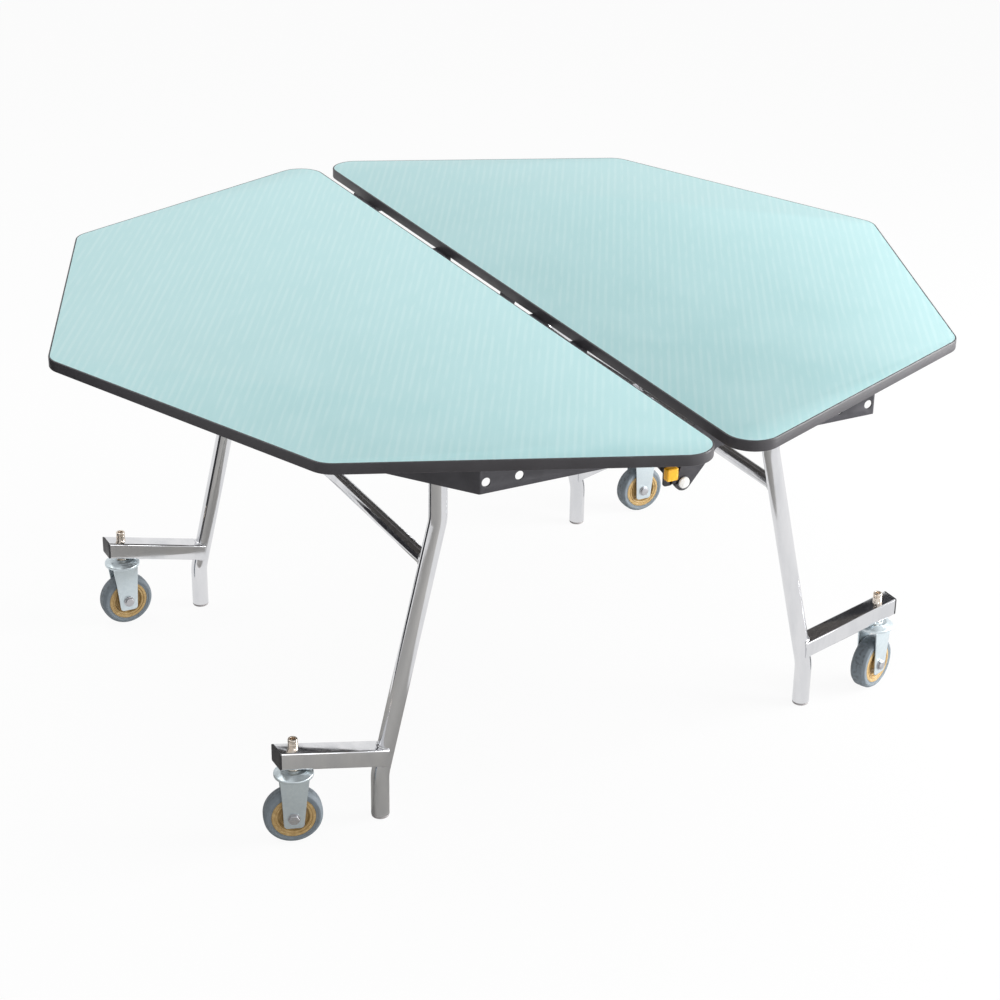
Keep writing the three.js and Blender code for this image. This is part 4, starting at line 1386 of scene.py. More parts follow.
@dataclass
class LegFrame:
    """Two bent legs, the tube between them, the arms out to the casters, and the shaft the legs turn on."""

    side: Side
    leg_top: float = 688.0
    knee_z: float = 545.0
    ankle_z: float = 85.0
    foot_x: float = 436.0
    bend_radius: float = 90.0
    glide_height: float = 5.0
    glide_taper: float = 0.8
    glide_plug_radius: float = 13.5
    glide_plug_length: float = 18.0
    glide_edges: tuple = (0, 2.4, 0.8, 0.3, 1, 0)
    cross_radius: float = 12.7
    cross_z: float = 469.0
    cross_edge: float = 0.3
    lug_y: float = 8.0
    lug_thickness: float = 4.0
    lug_radius: float = 10.0
    lug_edge: float = 0.8
    pin_radius: float = 5.0
    pin_edge: float = 0.4
    pin_near: float = 1.0
    pin_past_lug: float = 1.0
    pin_head_radius: float = 8.0
    pin_head: float = 1.9
    pin_head_edge: float = 0.7
    pin_head_y: float = 2.0
    arm_width: float = 38.1
    arm_depth: float = 32.0
    arm_corner: float = 3.2
    arm_edge: float = 0.4
    arm_overhang: float = 28.0
    arm_caster_z: float = 160.943
    plug_flange: float = 3.0
    plug_edge: float = 1.2
    plug_inset: float = 2.4
    plug_insert: float = 6.0
    plug_insert_edge: float = 0.3
    shaft_radius: float = 6.35
    shaft_head_radius: float = 10.0
    shaft_head: float = 3.0
    shaft_edges: tuple = (1.2, 0.4, 0.2)
    bracket_thickness: float = 4.0
    bracket_gap: float = 17.075
    bracket_length: float = 60.0
    bracket_lobe: float = 15.0
    bracket_bend: float = 5.0
    bracket_shoulder: float = 8.0
    bracket_edge: float = 0.8
    bead_radius: float = 2.0
    bead_share_at_tube: float = 0.9
    arm_bead_lift: float = 0.3
    arm_bead_sweep: float = 80.0
    arm_bead_steps: tuple = (24, 12)
    arm_bead_spread: float = 1.0
    arm_bead_ripples: int = 46
    cross_bead_gap: float = 0.4
    cross_bead_lift: float = 0.2
    cross_bead_steps: int = 56
    cross_bead_ripples: int = 34

    @property
    def slope(self) -> float:
        """How far the leg moves outwards for each millimetre down."""
        return (self.foot_x - LEG_PIVOT_X) / (self.knee_z - self.ankle_z)

    @property
    def slant(self) -> float:
        """The leg's angle from upright."""
        return math.atan(self.slope)

    @property
    def cross_x(self) -> float:
        """Where the cross tube meets the leg's line."""
        return LEG_PIVOT_X + (self.knee_z - self.cross_z) * self.slope

    @property
    def arm_root(self) -> tuple[float, float]:
        """Where the arm's line meets the leg's, square to it.

        Returns:
            The root's X and Z.
        """
        drop = self.knee_z - self.arm_caster_z
        x = (LEG_PIVOT_X + drop * self.slope + CASTER_X * self.slope**2) / (1 + self.slope**2)
        return x, self.arm_caster_z - (CASTER_X - x) * self.slope

    @property
    def arm_reach(self) -> float:
        """How far out from the leg's line the arm's end is."""
        return CASTER_X + self.arm_overhang - self.arm_root[0]

    def on_arm(self, shell: Shell) -> Shell:
        """Lays a shell's X across the arm, its Y upright and its Z out along the arm's slope."""
        x, z = self.arm_root
        return shell.placed([[0, 1, 0], [0, 0, 1], [1, 0, self.slope]], (x, 0, z))

    def square_to_leg(self, shell: Shell) -> Shell:
        """Lays a shell's X across the arm, its Y up along the leg and its Z square to the leg.

        Args:
            shell: A shell about the arm's root.

        Returns:
            The shell in its place.
        """
        tilt = self.slant
        x, z = self.arm_root
        up = [-math.sin(tilt), 0, math.cos(tilt)]
        out = [math.cos(tilt), 0, math.sin(tilt)]
        return shell.placed([[0, 1, 0], up, out], (x, 0, z))

    def at_corner(self, shell: Shell, place: Place) -> Shell:
        """A shell made for the right half about Y = 0, moved to one of this frame's two legs."""
        return shell.on_half(self.side).moved(y=place.value * LEG_Y)

    def leg_path(self) -> Points:
        """The leg's middle line, with its two bends rounded.

        Returns:
            The line's points, as X and Z.
        """
        corners = [
            (LEG_PIVOT_X, self.leg_top),
            (LEG_PIVOT_X, self.knee_z),
            (self.foot_x, self.ankle_z),
            (self.foot_x, self.glide_height + SEAM),
        ]
        return rounded(corners, self.bend_radius, steps=10, closed=False)

    def arm_section(self, inset: float = 0.0) -> Points:
        """The arm's outline across its length.

        Args:
            inset: How far inside the arm's faces the outline lies.

        Returns:
            The outline, centred.
        """
        across = self.arm_width / 2 - inset
        up = (self.arm_depth / 2 - inset) / math.cos(self.slant)
        return rounded(rectangle((-across, across), (-up, up)), self.arm_corner, steps=5)

    def glide(self) -> Shell:
        """The foot's tip: a rounded disc with a plug that goes up into the tube.

        Returns:
            The tip under the right leg.
        """
        top = self.glide_height
        plug, plug_top = self.glide_plug_radius, top + self.glide_plug_length
        corners = [
            (0, 0),
            (LEG_RADIUS - self.glide_taper, 0),
            (LEG_RADIUS, top),
            (plug, top),
            (plug, plug_top),
            (0, plug_top),
        ]
        return turned(corners, self.glide_edges, steps=4, sides=40, wear=0.3).moved(x=self.foot_x)

    def arm_bead(self) -> Shell:
        """The weld round the arm's root.

        Its line bows over the leg's round side above and below, and runs straight down both flanks.

        Returns:
            The bead on the right leg.
        """
        half = self.arm_depth / 2
        reach = LEG_RADIUS + self.arm_bead_lift
        over, down = self.arm_bead_steps
        sweep = np.linspace(-1, 1, over) * math.radians(self.arm_bead_sweep)
        bow = np.stack([reach * np.sin(sweep), np.full(over, half), reach * np.cos(sweep)], axis=-1)
        drop = np.linspace(half, -half, down + 2)[1:-1]
        aside, out = bow[-1, 0] + self.arm_bead_spread, bow[-1, 2]
        flank = np.stack([np.full(down, aside), drop, np.full(down, out)], axis=-1)
        low = bow[::-1] * np.array([1, -1, 1])
        other = flank[::-1] * np.array([-1, 1, 1])
        path = np.vstack([bow, flank, low, other])
        return self.square_to_leg(weld_bead(path, self.bead_radius, self.arm_bead_ripples))

    def cross_bead(self) -> Shell:
        """The weld round the cross tube's end, on the leg's round side; made for the rear leg.

        Returns:
            The bead on the right leg.
        """
        angle = np.linspace(0, FULL_TURN, self.cross_bead_steps, endpoint=False)
        radius = self.cross_radius + self.cross_bead_gap
        aside = radius * np.cos(angle - self.slant)
        inwards = -np.sqrt(np.maximum((LEG_RADIUS + self.cross_bead_lift) ** 2 - aside**2, 0))
        x, z = self.cross_x + radius * np.cos(angle), self.cross_z + radius * np.sin(angle)
        path = np.stack([x, inwards, z], axis=-1)
        return weld_bead(path, self.bead_radius * self.bead_share_at_tube, self.cross_bead_ripples)

    def bracket(self) -> Shell:
        """The leg's pivot bracket: one strip folded into a channel, with a round lobe on each cheek.

        Returns:
            The bracket over the right leg.
        """
        half = self.bracket_thickness / 2
        y = self.bracket_gap + half
        foot = LEG_PIVOT_Z - self.bracket_lobe
        corners = [(-y, foot), (-y, SEAT - half), (y, SEAT - half), (y, foot)]
        path = BentPath(corners, self.bracket_bend)
        pivot, curve = self.bracket_lobe, self.bracket_shoulder
        width = self.bracket_length / 2
        shoulder = SEAT - foot - curve
        tip = lug_tip((shoulder, width), (shoulder, -width), (pivot, 0), pivot)
        far = path.length
        near_cheek = [(shoulder, width), tip, (shoulder, -width)]
        far_cheek = [(far - shoulder, -width), (far - tip[0], 0), (far - shoulder, width)]
        outline = rounded(near_cheek + far_cheek, [curve, pivot, curve] * 2, steps=10)
        holes = tuple(circle((along, 0), self.shaft_radius + SEAM) for along in (pivot, far - pivot))
        folded = bent_plate(outline, self.bracket_thickness, self.bracket_edge, path, holes)
        return folded.placed(FOLDED_ACROSS, (LEG_PIVOT_X, 0, 0))

    def cross_tube(self) -> list[Shell]:
        """The tube between the legs, with the lug and the headed pin that a link turns on.

        Returns:
            The tube, lug, pin and pin head, for the right half.
        """
        tube = rod(self.cross_radius, 2 * LEG_Y - LEG_RADIUS, self.cross_edge, sides=40)
        pivot, root = (LEG_PIVOT_X, LINK_PIN_Z), (self.cross_x, self.cross_z)
        lug = plate(eye_bar(root, pivot, self.lug_radius), self.lug_thickness, self.lug_edge)
        pin_far = self.lug_y + self.lug_thickness + self.pin_past_lug
        pin = rod(self.pin_radius, pin_far - self.pin_near, self.pin_edge)
        head = rod(self.pin_head_radius, self.pin_head, self.pin_head_edge)
        return [
            tube.placed(UPRIGHT, (self.cross_x, 0, self.cross_z)),
            lug.placed(UPRIGHT, (0, self.lug_y, 0)),
            pin.placed(UPRIGHT, (LEG_PIVOT_X, (pin_far + self.pin_near) / 2, LINK_PIN_Z)),
            head.placed(UPRIGHT, (LEG_PIVOT_X, self.pin_head_y, LINK_PIN_Z)),
        ]

    def shaft(self) -> Shell:
        """The shaft through both legs and their brackets, with a domed head at each end.

        Returns:
            The shaft, for the right half.
        """
        reach = LEG_Y + self.bracket_gap + self.bracket_thickness + SEAM
        head = (self.shaft_head_radius, self.shaft_head)
        bar = headed_rod(self.shaft_radius, reach, *head, self.shaft_edges, sides=28)
        return bar.placed(UPRIGHT, (LEG_PIVOT_X, 0, LEG_PIVOT_Z))

    def build(self) -> None:
        """Makes the frame's pieces, and the brackets that hold it to the board."""
        side = self.side.label
        body = f"{side}_leg_frame"
        leg = round_sweep(self.leg_path(), LEG_RADIUS)
        arm = self.on_arm(plate(self.arm_section(), self.arm_reach, self.arm_edge))
        cap = plate(self.arm_section(), self.plug_flange, self.plug_edge)
        insert = plate(self.arm_section(self.plug_inset), self.plug_insert, self.plug_insert_edge)
        face = self.arm_reach + SEAM
        caps = [self.on_arm(shell.moved(z=face)) for shell in (cap, insert.moved(z=-self.plug_insert))]
        for place in Place:
            corner = corner_name(self.side, place)
            one_leg = {
                "leg_tube": ("chrome", CHROME, [leg], "leg"),
                "foot_tip": ("glide", GREY_NYLON, [self.glide()], "foot_glide"),
                "arm_tube": ("chrome", CHROME, [arm], "caster_arm"),
                "arm_cap": ("plug", BLACK_PLASTIC, caps, "arm_plug"),
            }
            for label, (slot, finish, shells, node) in one_leg.items():
                placed = [self.at_corner(shell, place) for shell in shells]
                make_piece(f"{corner}_{label}", body, finish, placed, (f"{corner}_{node}",))
            inner = self.cross_bead()
            if place.value * self.side.value < 0:
                inner = inner.front_to_back()
            beads = [self.at_corner(bead, place) for bead in (self.arm_bead(), inner)]
            make_piece(f"{corner}_weld_beads", body, CHROME, beads)
            bracket = [self.at_corner(self.bracket(), place)]
            node = (f"{corner}_leg_bracket",)
            make_piece(f"{corner}_pivot_bracket", f"{side}_top", SHEET_PAINT, bracket, node)
        cross = [shell.on_half(self.side) for shell in self.cross_tube()]
        make_piece(f"{side}_cross_tube", body, CHROME, cross, (f"{side}_crossbar",))
        shaft = [self.shaft().on_half(self.side)]
        make_piece(f"{side}_shaft", body, STEEL, shaft, (f"{side}_pivot_shaft",))


@dataclass
class Caster:
    """A swivel caster: sleeve and stem, fork, axle bolt, hub and tyre."""

    side: Side
    place: Place
    trail: float = 3.0
    wheel_radius: float = 51.0
    wheel_width: float = 32.0
    tyre_depth: float = 13.0
    axle_radius: float = 5.0
    fork_sheet: float = 3.0
    fork_gap: float = 2.0
    fork_shoulder: float = 50.0
    fork_waist: float = 43.0
    fork_foot: float = 34.0
    fork_below_axle: float = 19.0
    head_bottom: float = 126.0
    head_top: float = 138.0
    head_radius: float = 34.0
    sleeve_radius: float = 8.5
    sleeve_top: float = 196.386
    sleeve_bore: float = 5.0
    sleeve_groove: float = 0.7
    sleeve_groove_drops: tuple = (9.0, 8.4, 7.4, 6.8)
    bore_depth: float = 9.0
    collar_radius: float = 11.0
    collar_thickness: float = 2.5
    neck_radius: float = 6.0
    rivet_radius: float = 9.0
    rivet_height: float = 4.0
    stem_edges: tuple = (0, 1.5, 0.4, 0, 0, 0.5, 0.8, 0.2, 0.2, 0.2, 0.2, 0.2, 1.4, 0.6, 0.2, 0)
    cheek_levels: tuple = (0.0, 0.62, 0.97)
    cheek_offsets: tuple = (1.0, 0.4, 0.0)
    cheek_corners: tuple = (7, 60, 8)
    crown_bend: float = 5.0
    fork_edge: float = 0.9
    head_bore: float = 6.3
    head_flat: float = 5.0
    head_lip: float = 4.0
    head_side: float = 2.0
    head_dome: float = 22.0
    head_step: float = 15.0
    head_boss: float = 13.5
    head_boss_rise: float = 1.2
    head_edges: tuple = (0.2, 2, 1, 1.6, 4, 1, 0.8, 0.4)
    race_bore: float = 19.0
    race_foot: float = 23.0
    race_radius: float = 25.0
    race_drop: float = 3.2
    race_foot_drop: float = 8.0
    race_edges: tuple = (0.8, 1.6, 0.4, 0.4)
    nut_radius: float = 9.2
    nut_thickness: float = 4.2
    washer_radius: float = 10.5
    washer_thickness: float = 1.2
    washer_edge: float = 0.4
    nut_edge: float = 0.9
    nut_corner: float = 1.2
    bolt_past_fork: float = 10.6
    bolt_edge: float = 0.8
    tyre_steps: tuple = ((0, 0.6), (3.4, 0.6), (4.2, 0))
    tyre_shoulder: float = 5.0
    tyre_crown: float = 0.6
    tyre_tread_inset: float = 6.0
    tyre_edges: tuple = (0.4, 0.3, 0.6, 3.4, 5)
    tyre_tread_radius: float = 40.0
    tread_wear: tuple[float, float] = (2.2, 2.0)
    hub_steps: tuple = (
        (12.5, 0), (13.5, 6), (19, 6.5), (19.8, 5), (22.2, 5), (23, 6.5), (26, 6.5), (27.4, 1.2), (29.6, 0.4),
        (30.4, 1.6), (32, 1.6), (32.8, 0.3),
    )
    hub_rim_sunk: float = 0.8
    hub_edge: float = 0.45
    hub_wear_depth: float = 2.0

    def at_corner(self, shell: Shell) -> Shell:
        """A shell made about the stem's axis, moved to this corner."""
        return shell.on_half(self.side).moved(self.side.value * CASTER_X, self.place.value * LEG_Y)

    @property
    def turn(self) -> float:
        """How far the fork is swivelled, as photographed."""
        return math.radians(SWIVELS.get((self.side, self.place), 0.0))

    def on_fork(self, shell: Shell) -> Shell:
        """A shell made about the stem's axis, swivelled with the fork and moved to this corner."""
        along, aside = math.cos(self.turn), math.sin(self.turn)
        return self.at_corner(shell.placed([[along, aside, 0], [-aside, along, 0], [0, 0, 1]]))

    def at_axle(self, shell: Shell) -> Shell:
        """A shell turned about Z, laid along the axle and moved to this corner."""
        return self.on_fork(shell.placed(UPRIGHT, (-self.trail, 0, self.wheel_radius)))

    def stem(self) -> Shell:
        """The stem's rivet, neck and collar, and the tall sleeve nut over the arm with its open end.

        Returns:
            The stem about its own axis.
        """
        top, bore, collar, neck = self.sleeve_top, self.sleeve_bore, self.collar_radius, self.neck_radius
        outer, groove = self.sleeve_radius, self.sleeve_radius - self.sleeve_groove
        seat = self.head_top + SEAM
        rest = seat + self.collar_thickness
        under = self.head_bottom - SEAM
        foot = under - self.rivet_height
        low, floor, roof, high = (top - drop for drop in self.sleeve_groove_drops)
        corners = [(0, foot), (self.rivet_radius, foot), (self.rivet_radius, under)]
        corners += [(neck, under), (neck, seat)]
        corners += [(collar, seat), (collar, rest), (outer, rest), (outer, low), (groove, floor)]
        corners += [(groove, roof), (outer, high), (outer, top), (bore, top)]
        corners += [(bore, top - self.bore_depth), (0, top - self.bore_depth)]
        return turned(corners, self.stem_edges, steps=3, sides=40, wear=0.25)

    def fork_strip(self) -> Shell:
        """The strip folded over the wheel, whose cheeks narrow in two steps down to the axle.

        Returns:
            The strip about the stem's axis.
        """
        y = self.wheel_width / 2 + self.fork_gap + self.fork_sheet / 2
        crown = self.head_bottom + self.fork_sheet / 2
        foot = self.wheel_radius - self.fork_below_axle
        path = BentPath([(-y, foot), (-y, crown), (y, crown), (y, foot)], self.crown_bend)
        levels = np.array(self.cheek_levels) * (crown - foot)
        widths = np.array([self.fork_foot, self.fork_waist, self.fork_shoulder]) / 2
        middles = -self.trail * np.array(self.cheek_offsets)
        up = np.stack([levels, middles + widths], axis=-1)
        down = np.stack([levels, middles - widths], axis=-1)
        far_end, turned_over = np.array([path.length, 0]), np.array([-1, 1])
        far_down, far_up = down * turned_over + far_end, up * turned_over + far_end
        corners = np.vstack([down, far_down[::-1], far_up, up[::-1]])
        outline = rounded(corners, [*self.cheek_corners, *self.cheek_corners[::-1]] * 2, steps=6)
        axle_places = (self.fork_below_axle, path.length - self.fork_below_axle)
        bores = tuple(circle((along, -self.trail), self.axle_radius + SEAM) for along in axle_places)
        return bent_plate(outline, self.fork_sheet, self.fork_edge, path, bores).placed(FOLDED_ACROSS)

    def swivel_head(self) -> list[Shell]:
        """The head over the fork with its rolled rim, and the ball race under it.

        Returns:
            The head and the race about the stem's axis.
        """
        low, high = self.head_bottom + self.fork_sheet, self.head_top
        reach, bore = self.head_radius, self.head_bore
        deck = high - self.head_boss_rise
        rim = [(bore, low), (reach - self.head_flat, low)]
        rim += [(reach, low - self.head_lip), (reach, low + self.head_side)]
        crown = [(self.head_dome, deck), (self.head_step, deck), (self.head_boss, high), (bore, high)]
        head = turned(rim + crown, self.head_edges, steps=4, sides=56, wear=0.3, ring=True)
        top, foot, race_bore = low - self.race_drop, low - self.race_foot_drop, self.race_bore
        race_corners = [(race_bore, foot), (self.race_foot, foot), (self.race_radius, top), (race_bore, top)]
        return [head, turned(race_corners, self.race_edges, steps=3, sides=48, wear=0.3, ring=True)]

    def axle(self) -> list[Shell]:
        """The bolt, with a washer and a hexagon at each end.

        Returns:
            The bolt's pieces along Z.
        """
        out = self.wheel_width / 2 + self.fork_gap + self.fork_sheet + SEAM
        hexagon = rounded(circle((0, 0), self.nut_radius, sides=6), self.nut_corner, steps=3)
        ring = rectangle((self.axle_radius, self.washer_radius), (0, self.washer_thickness))
        washer = turned(ring, self.washer_edge, steps=2, sides=36, wear=0.4, ring=True)
        nut = plate(hexagon, self.nut_thickness, self.nut_edge)
        pieces = [rod(self.axle_radius, 2 * out + self.bolt_past_fork, self.bolt_edge)]
        for sign in (-1, 1):
            turn = [[1, 0, 0], [0, 1, 0], [0, 0, sign]]
            pieces.append(washer.placed(turn, (0, 0, sign * out)))
            pieces.append(nut.placed(turn, (0, 0, sign * (out + self.washer_thickness))))
        return pieces

    def tyre(self) -> Shell:
        """The tyre's ring: a crowned tread, rounded shoulders and side walls with a shallow step.

        Returns:
            The tyre along Z.
        """
        inner, outer, half = self.wheel_radius - self.tyre_depth, self.wheel_radius, self.wheel_width / 2
        side = [(inner + out, half - sunk) for out, sunk in self.tyre_steps]
        side += [(outer - self.tyre_shoulder, half), (outer - self.tyre_crown, half - self.tyre_tread_inset)]
        radii = [*self.tyre_edges, self.tyre_tread_radius, *self.tyre_edges[::-1]]
        profile = rounded([*side, (outer, 0), *upside_down(side)], radii, steps=5)
        start, span = self.tread_wear
        tread = np.clip((profile[:, 0] - outer + start) / span, 0, 1)
        return lathe(profile, sides=72, wear=tread, loop=True)

    def hub(self) -> Shell:
        """The hub: a raised outer ring, a grooved disc and a boss round the axle.

        Returns:
            The hub along Z.
        """
        inner, outer = self.axle_radius + SEAM, self.wheel_radius - self.tyre_depth - SEAM
        half = self.wheel_width / 2
        side = [
            (inner, half),
            *((radius, half - sunk) for radius, sunk in self.hub_steps),
            (outer, half - self.hub_rim_sunk),
        ]
        profile = rounded(side + upside_down(side), self.hub_edge, steps=3)
        raised = np.clip((np.abs(profile[:, 1]) - half + self.hub_wear_depth) / self.hub_wear_depth, 0, 1)
        return lathe(profile, sides=72, wear=raised, loop=True)

    def build(self) -> None:
        """Makes the caster's pieces."""
        corner = corner_name(self.side, self.place)
        legs, fork, wheel = f"{self.side.label}_leg_frame", f"{corner}_fork", f"{corner}_wheel"
        stem = [self.at_corner(self.stem())]
        forked = [self.on_fork(shell) for shell in (self.fork_strip(), *self.swivel_head())]
        axle = [self.at_axle(shell) for shell in self.axle()]
        pieces = {
            "stem_sleeve": (legs, "stem", STEM_PLATE, stem, "caster_stem"),
            "swivel_fork": (fork, "zinc", ZINC, forked, "caster_fork"),
            "axle_bolt": (fork, "steel", STEEL, axle, "caster_axle"),
            "hub_disc": (wheel, "hub", HUB_PLASTIC, [self.at_axle(self.hub())], "wheel_hub"),
            "tyre_ring": (wheel, "tyre", TYRE_RUBBER, [self.at_axle(self.tyre())], "wheel_tyre"),
        }
        for label, (body, slot, finish, shells, node) in pieces.items():
            make_piece(f"{corner}_{label}", body, finish, shells, (f"{corner}_{node}",))


@dataclass
class Linkage:
    """The hinge rod, the hanger on its middle, and the two links out to the leg frames."""

    rod_reach: float = 661.55
    rod_head_radius: float = 9.0
    rod_head: float = 3.0
    rod_edges: tuple = (1.4, 0.4, 0.2)
    cap_wall: float = 1.0
    cap_gap: float = 0.4
    cap_grip: float = 1.0
    cap_slope: float = 0.6
    cap_dome: float = 1.0
    cap_edges: tuple = (0, 0.3, 0.3, 0.5, 1.8, 0)
    hanger_thickness: float = 6.0
    hanger_edge: float = 1.0
    hanger_round_shares: tuple[float, float] = (0.9, 0.95)
    hub_radius: float = 14.0
    hub_length: float = 24.0
    hub_edge: float = 0.8
    eye_radius: float = 10.0
    eye_hole: float = 5.3
    link_thickness: float = 4.0
    link_edge: float = 0.9
    link_y: float = 5.5
    pin_radius: float = 5.0
    pin_head_radius: float = 8.0
    pin_head: float = 2.0
    pin_edges: tuple = (0.8, 0.2, 0.1)
    pin_play: float = 0.5

    def hinge_rod(self) -> Shell:
        """The rod through all the ears, with a domed head at each end.

        Returns:
            The rod in its place.
        """
        head = (self.rod_head_radius, self.rod_head)
        bar = headed_rod(ROD_RADIUS, self.rod_reach, *head, self.rod_edges, sides=32)
        return bar.placed(UPRIGHT, (0, 0, HINGE_Z))

    def caps(self) -> list[Shell]:
        """A domed cap over each head of the rod.

        Returns:
            The rear cap and the front one.
        """
        radius = self.rod_head_radius + self.cap_wall
        back, top = self.rod_reach + self.cap_gap, self.rod_reach + self.rod_head + self.cap_wall
        inner_radius, inner_top = self.rod_head_radius - self.cap_grip, top - self.cap_wall
        inner = [(0, inner_top), (inner_radius, inner_top), (inner_radius, back)]
        corners = inner + [(radius, back), (radius, top - self.cap_slope), (0, top + self.cap_dome)]
        cap = turned(corners, self.cap_edges, steps=4, sides=36, wear=0.3).placed(UPRIGHT, (0, 0, HINGE_Z))
        return [cap, cap.front_to_back()]

    def hanger(self) -> list[Shell]:
        """A flat bar with a long hub at the rod and a headed pin at its foot.

        Returns:
            The bar, its hub and its pin, in place.
        """
        hub_top, eye_foot = HINGE_Z + self.hub_radius, HANGER_PIN_Z - self.eye_radius
        right = [(self.eye_radius, eye_foot), (self.hub_radius, hub_top)]
        left = [(-x, z) for x, z in right[::-1]]
        at_hub, at_eye = self.hanger_round_shares
        radii = [self.hub_radius * at_hub, self.eye_radius * at_eye]
        outline = rounded(left + right, radii + radii[::-1], steps=10)
        bore = ROD_RADIUS + SEAM
        bar = plate(outline, self.hanger_thickness, self.hanger_edge, (circle((0, HINGE_Z), bore),))
        half = self.hub_length / 2
        ring = rectangle((bore, self.hub_radius), (-half, half))
        hub = turned(ring, self.hub_edge, steps=3, sides=40, wear=0.3, ring=True)
        reach = self.link_y + self.link_thickness / 2 + self.pin_play
        head = (self.pin_head_radius, self.pin_head)
        pin = headed_rod(self.pin_radius, reach, *head, self.pin_edges, sides=28)
        return [
            bar.placed(UPRIGHT, (0, -self.hanger_thickness / 2, 0)),
            hub.placed(UPRIGHT, (0, 0, HINGE_Z)),
            pin.placed(UPRIGHT, (0, 0, HANGER_PIN_Z)),
        ]

    def link(self) -> Shell:
        """A flat bar with an eye at each end, from the hanger's pin to the right leg frame's.

        Returns:
            The link of the right half.
        """
        ends = ((0, HANGER_PIN_Z), (LEG_PIVOT_X, LINK_PIN_Z))
        holes = tuple(circle(end, self.eye_hole) for end in ends)
        bar = plate(eye_bar(*ends, self.eye_radius), self.link_thickness, self.link_edge, holes)
        return bar.placed(UPRIGHT, (0, self.link_y - self.link_thickness / 2, 0))

    def build(self) -> None:
        """Makes the rod, the hanger and the links."""
        make_piece("hinge_bar", "left_top", STEEL, [self.hinge_rod()], ("centre_hinge_rod",))
        make_piece("hinge_caps", "left_top", PALE_NYLON, self.caps())
        make_piece("hanger_bar", "centre_hanger", STEEL, self.hanger(), ("centre_hanger",))
        for side in Side:
            link = f"{side.label}_sync_link"
            make_piece(f"{side.label}_link_bar", link, STEEL, [self.link().on_half(side)], (link,))


@dataclass
class Latch:
    """The release lever on the left half's front ear, with its grip."""

    back_y: float = -661.75
    thickness: float = 4.0
    half_width: float = 9.0
    length: float = 57.0
    foot_corner: float = 5.0
    top_round_share: float = 0.99
    edge: float = 0.8
    bore: float = 4.3
    tooth_tip_x: float = -17.2
    tooth_length: float = 12.0
    tooth_half: float = 3.0
    tooth_corner: float = 0.6
    tooth_edge: float = 0.4
    tooth_back_y: float = -658.25
    grip_width: float = 21.0
    grip_height: float = 22.0
    grip_depth: float = 14.0
    grip_drop: float = 32.0
    grip_rounding: float = 3.0
    grip_face_share: float = 0.4
    grip_rows: int = 90
    rib_count: int = 2
    rib_depth: float = 0.8
    rib_margin: float = 4.0

    def lever(self) -> list[Shell]:
        """A flat lever with a round top about its pin, and the tooth that goes into the other half's ear.

        Returns:
            The bar and the tooth, in place.
        """
        x, z = LATCH_PIVOT
        half = self.half_width
        corners = rectangle((x - half, x + half), (z - self.length, z + half))
        top_corner = half * self.top_round_share
        outline = rounded(corners, [self.foot_corner, self.foot_corner, top_corner, top_corner], steps=10)
        front = self.back_y - self.thickness
        bar = plate(outline, self.thickness, self.edge, (circle(LATCH_PIVOT, self.bore),))
        tooth_x = (self.tooth_tip_x - self.tooth_length, self.tooth_tip_x)
        tooth_z = (LATCH_TOOTH_Z - self.tooth_half, LATCH_TOOTH_Z + self.tooth_half)
        face = rounded(rectangle(tooth_x, tooth_z), self.tooth_corner, steps=3)
        tooth = plate(face, self.tooth_back_y - front, self.tooth_edge)
        return [shell.placed(UPRIGHT, (0, front, 0)) for shell in (bar, tooth)]

    def grip(self) -> Shell:
        """A block with rounded edges, whose sides move in and out as shallow finger ribs.

        A row at depth d stands in by the rounding's quarter circle near each end, and by the rib depth times
        one half of one minus the cosine of the ribs' phase between them. Each end is a flat face.

        Returns:
            The grip in its place.
        """
        wide, tall = self.grip_width / 2, self.grip_height / 2
        curve, depth = self.grip_rounding, self.grip_depth
        loop = facing(rounded(rectangle((-wide, wide), (-tall, tall)), curve, steps=5), True)
        rows = np.linspace(0, depth, self.grip_rows)
        near_end = np.clip(curve - np.minimum(rows, depth - rows), 0, None)
        round_over = curve - np.sqrt(np.maximum(curve**2 - near_end**2, 0))
        along = np.clip((rows - self.rib_margin) / (depth - 2 * self.rib_margin), 0, 1)
        ribs = self.rib_depth * 0.5 * (1 - np.cos(along * self.rib_count * FULL_TURN))
        sides = loop[None] + (round_over + ribs)[:, None, None] * mitres(loop)[None]
        face = loop[None] * self.grip_face_share
        flat = np.concatenate([np.zeros_like(face), face, sides, face, np.zeros_like(face)])
        level = np.concatenate([[0, 0], rows, [depth, depth]])
        rubbed = np.concatenate([[0, 0], np.clip(near_end / curve, 0, 1), [0, 0]])
        block = welded(stacked(flat, level, rubbed))
        x, z = LATCH_PIVOT
        back = self.back_y - self.thickness - SEAM
        return block.placed(TOWARDS_FRONT, (x, back, z - self.grip_drop))

    def build(self) -> None:
        """Makes the lever and the grip."""
        make_piece("latch_handle", "latch", LEVER_PAINT, self.lever(), ("latch_lever",))
        make_piece("latch_knob", "latch", GRIP_PLASTIC, [self.grip()], ("latch_grip",))


@dataclass(frozen=True)
class Lamp:
    """A square soft lamp: its place and the length of its sides in metres, and its power in watts."""

    name: str
    place: Spot
    size: float
    power: float


@dataclass(frozen=True)
class Card:
    """A plain card that only mirrored rays meet, so that bright metal shows light and dark; in metres."""

    name: str
    corners: tuple[Spot, Spot, Spot, Spot]
    tone: Tone


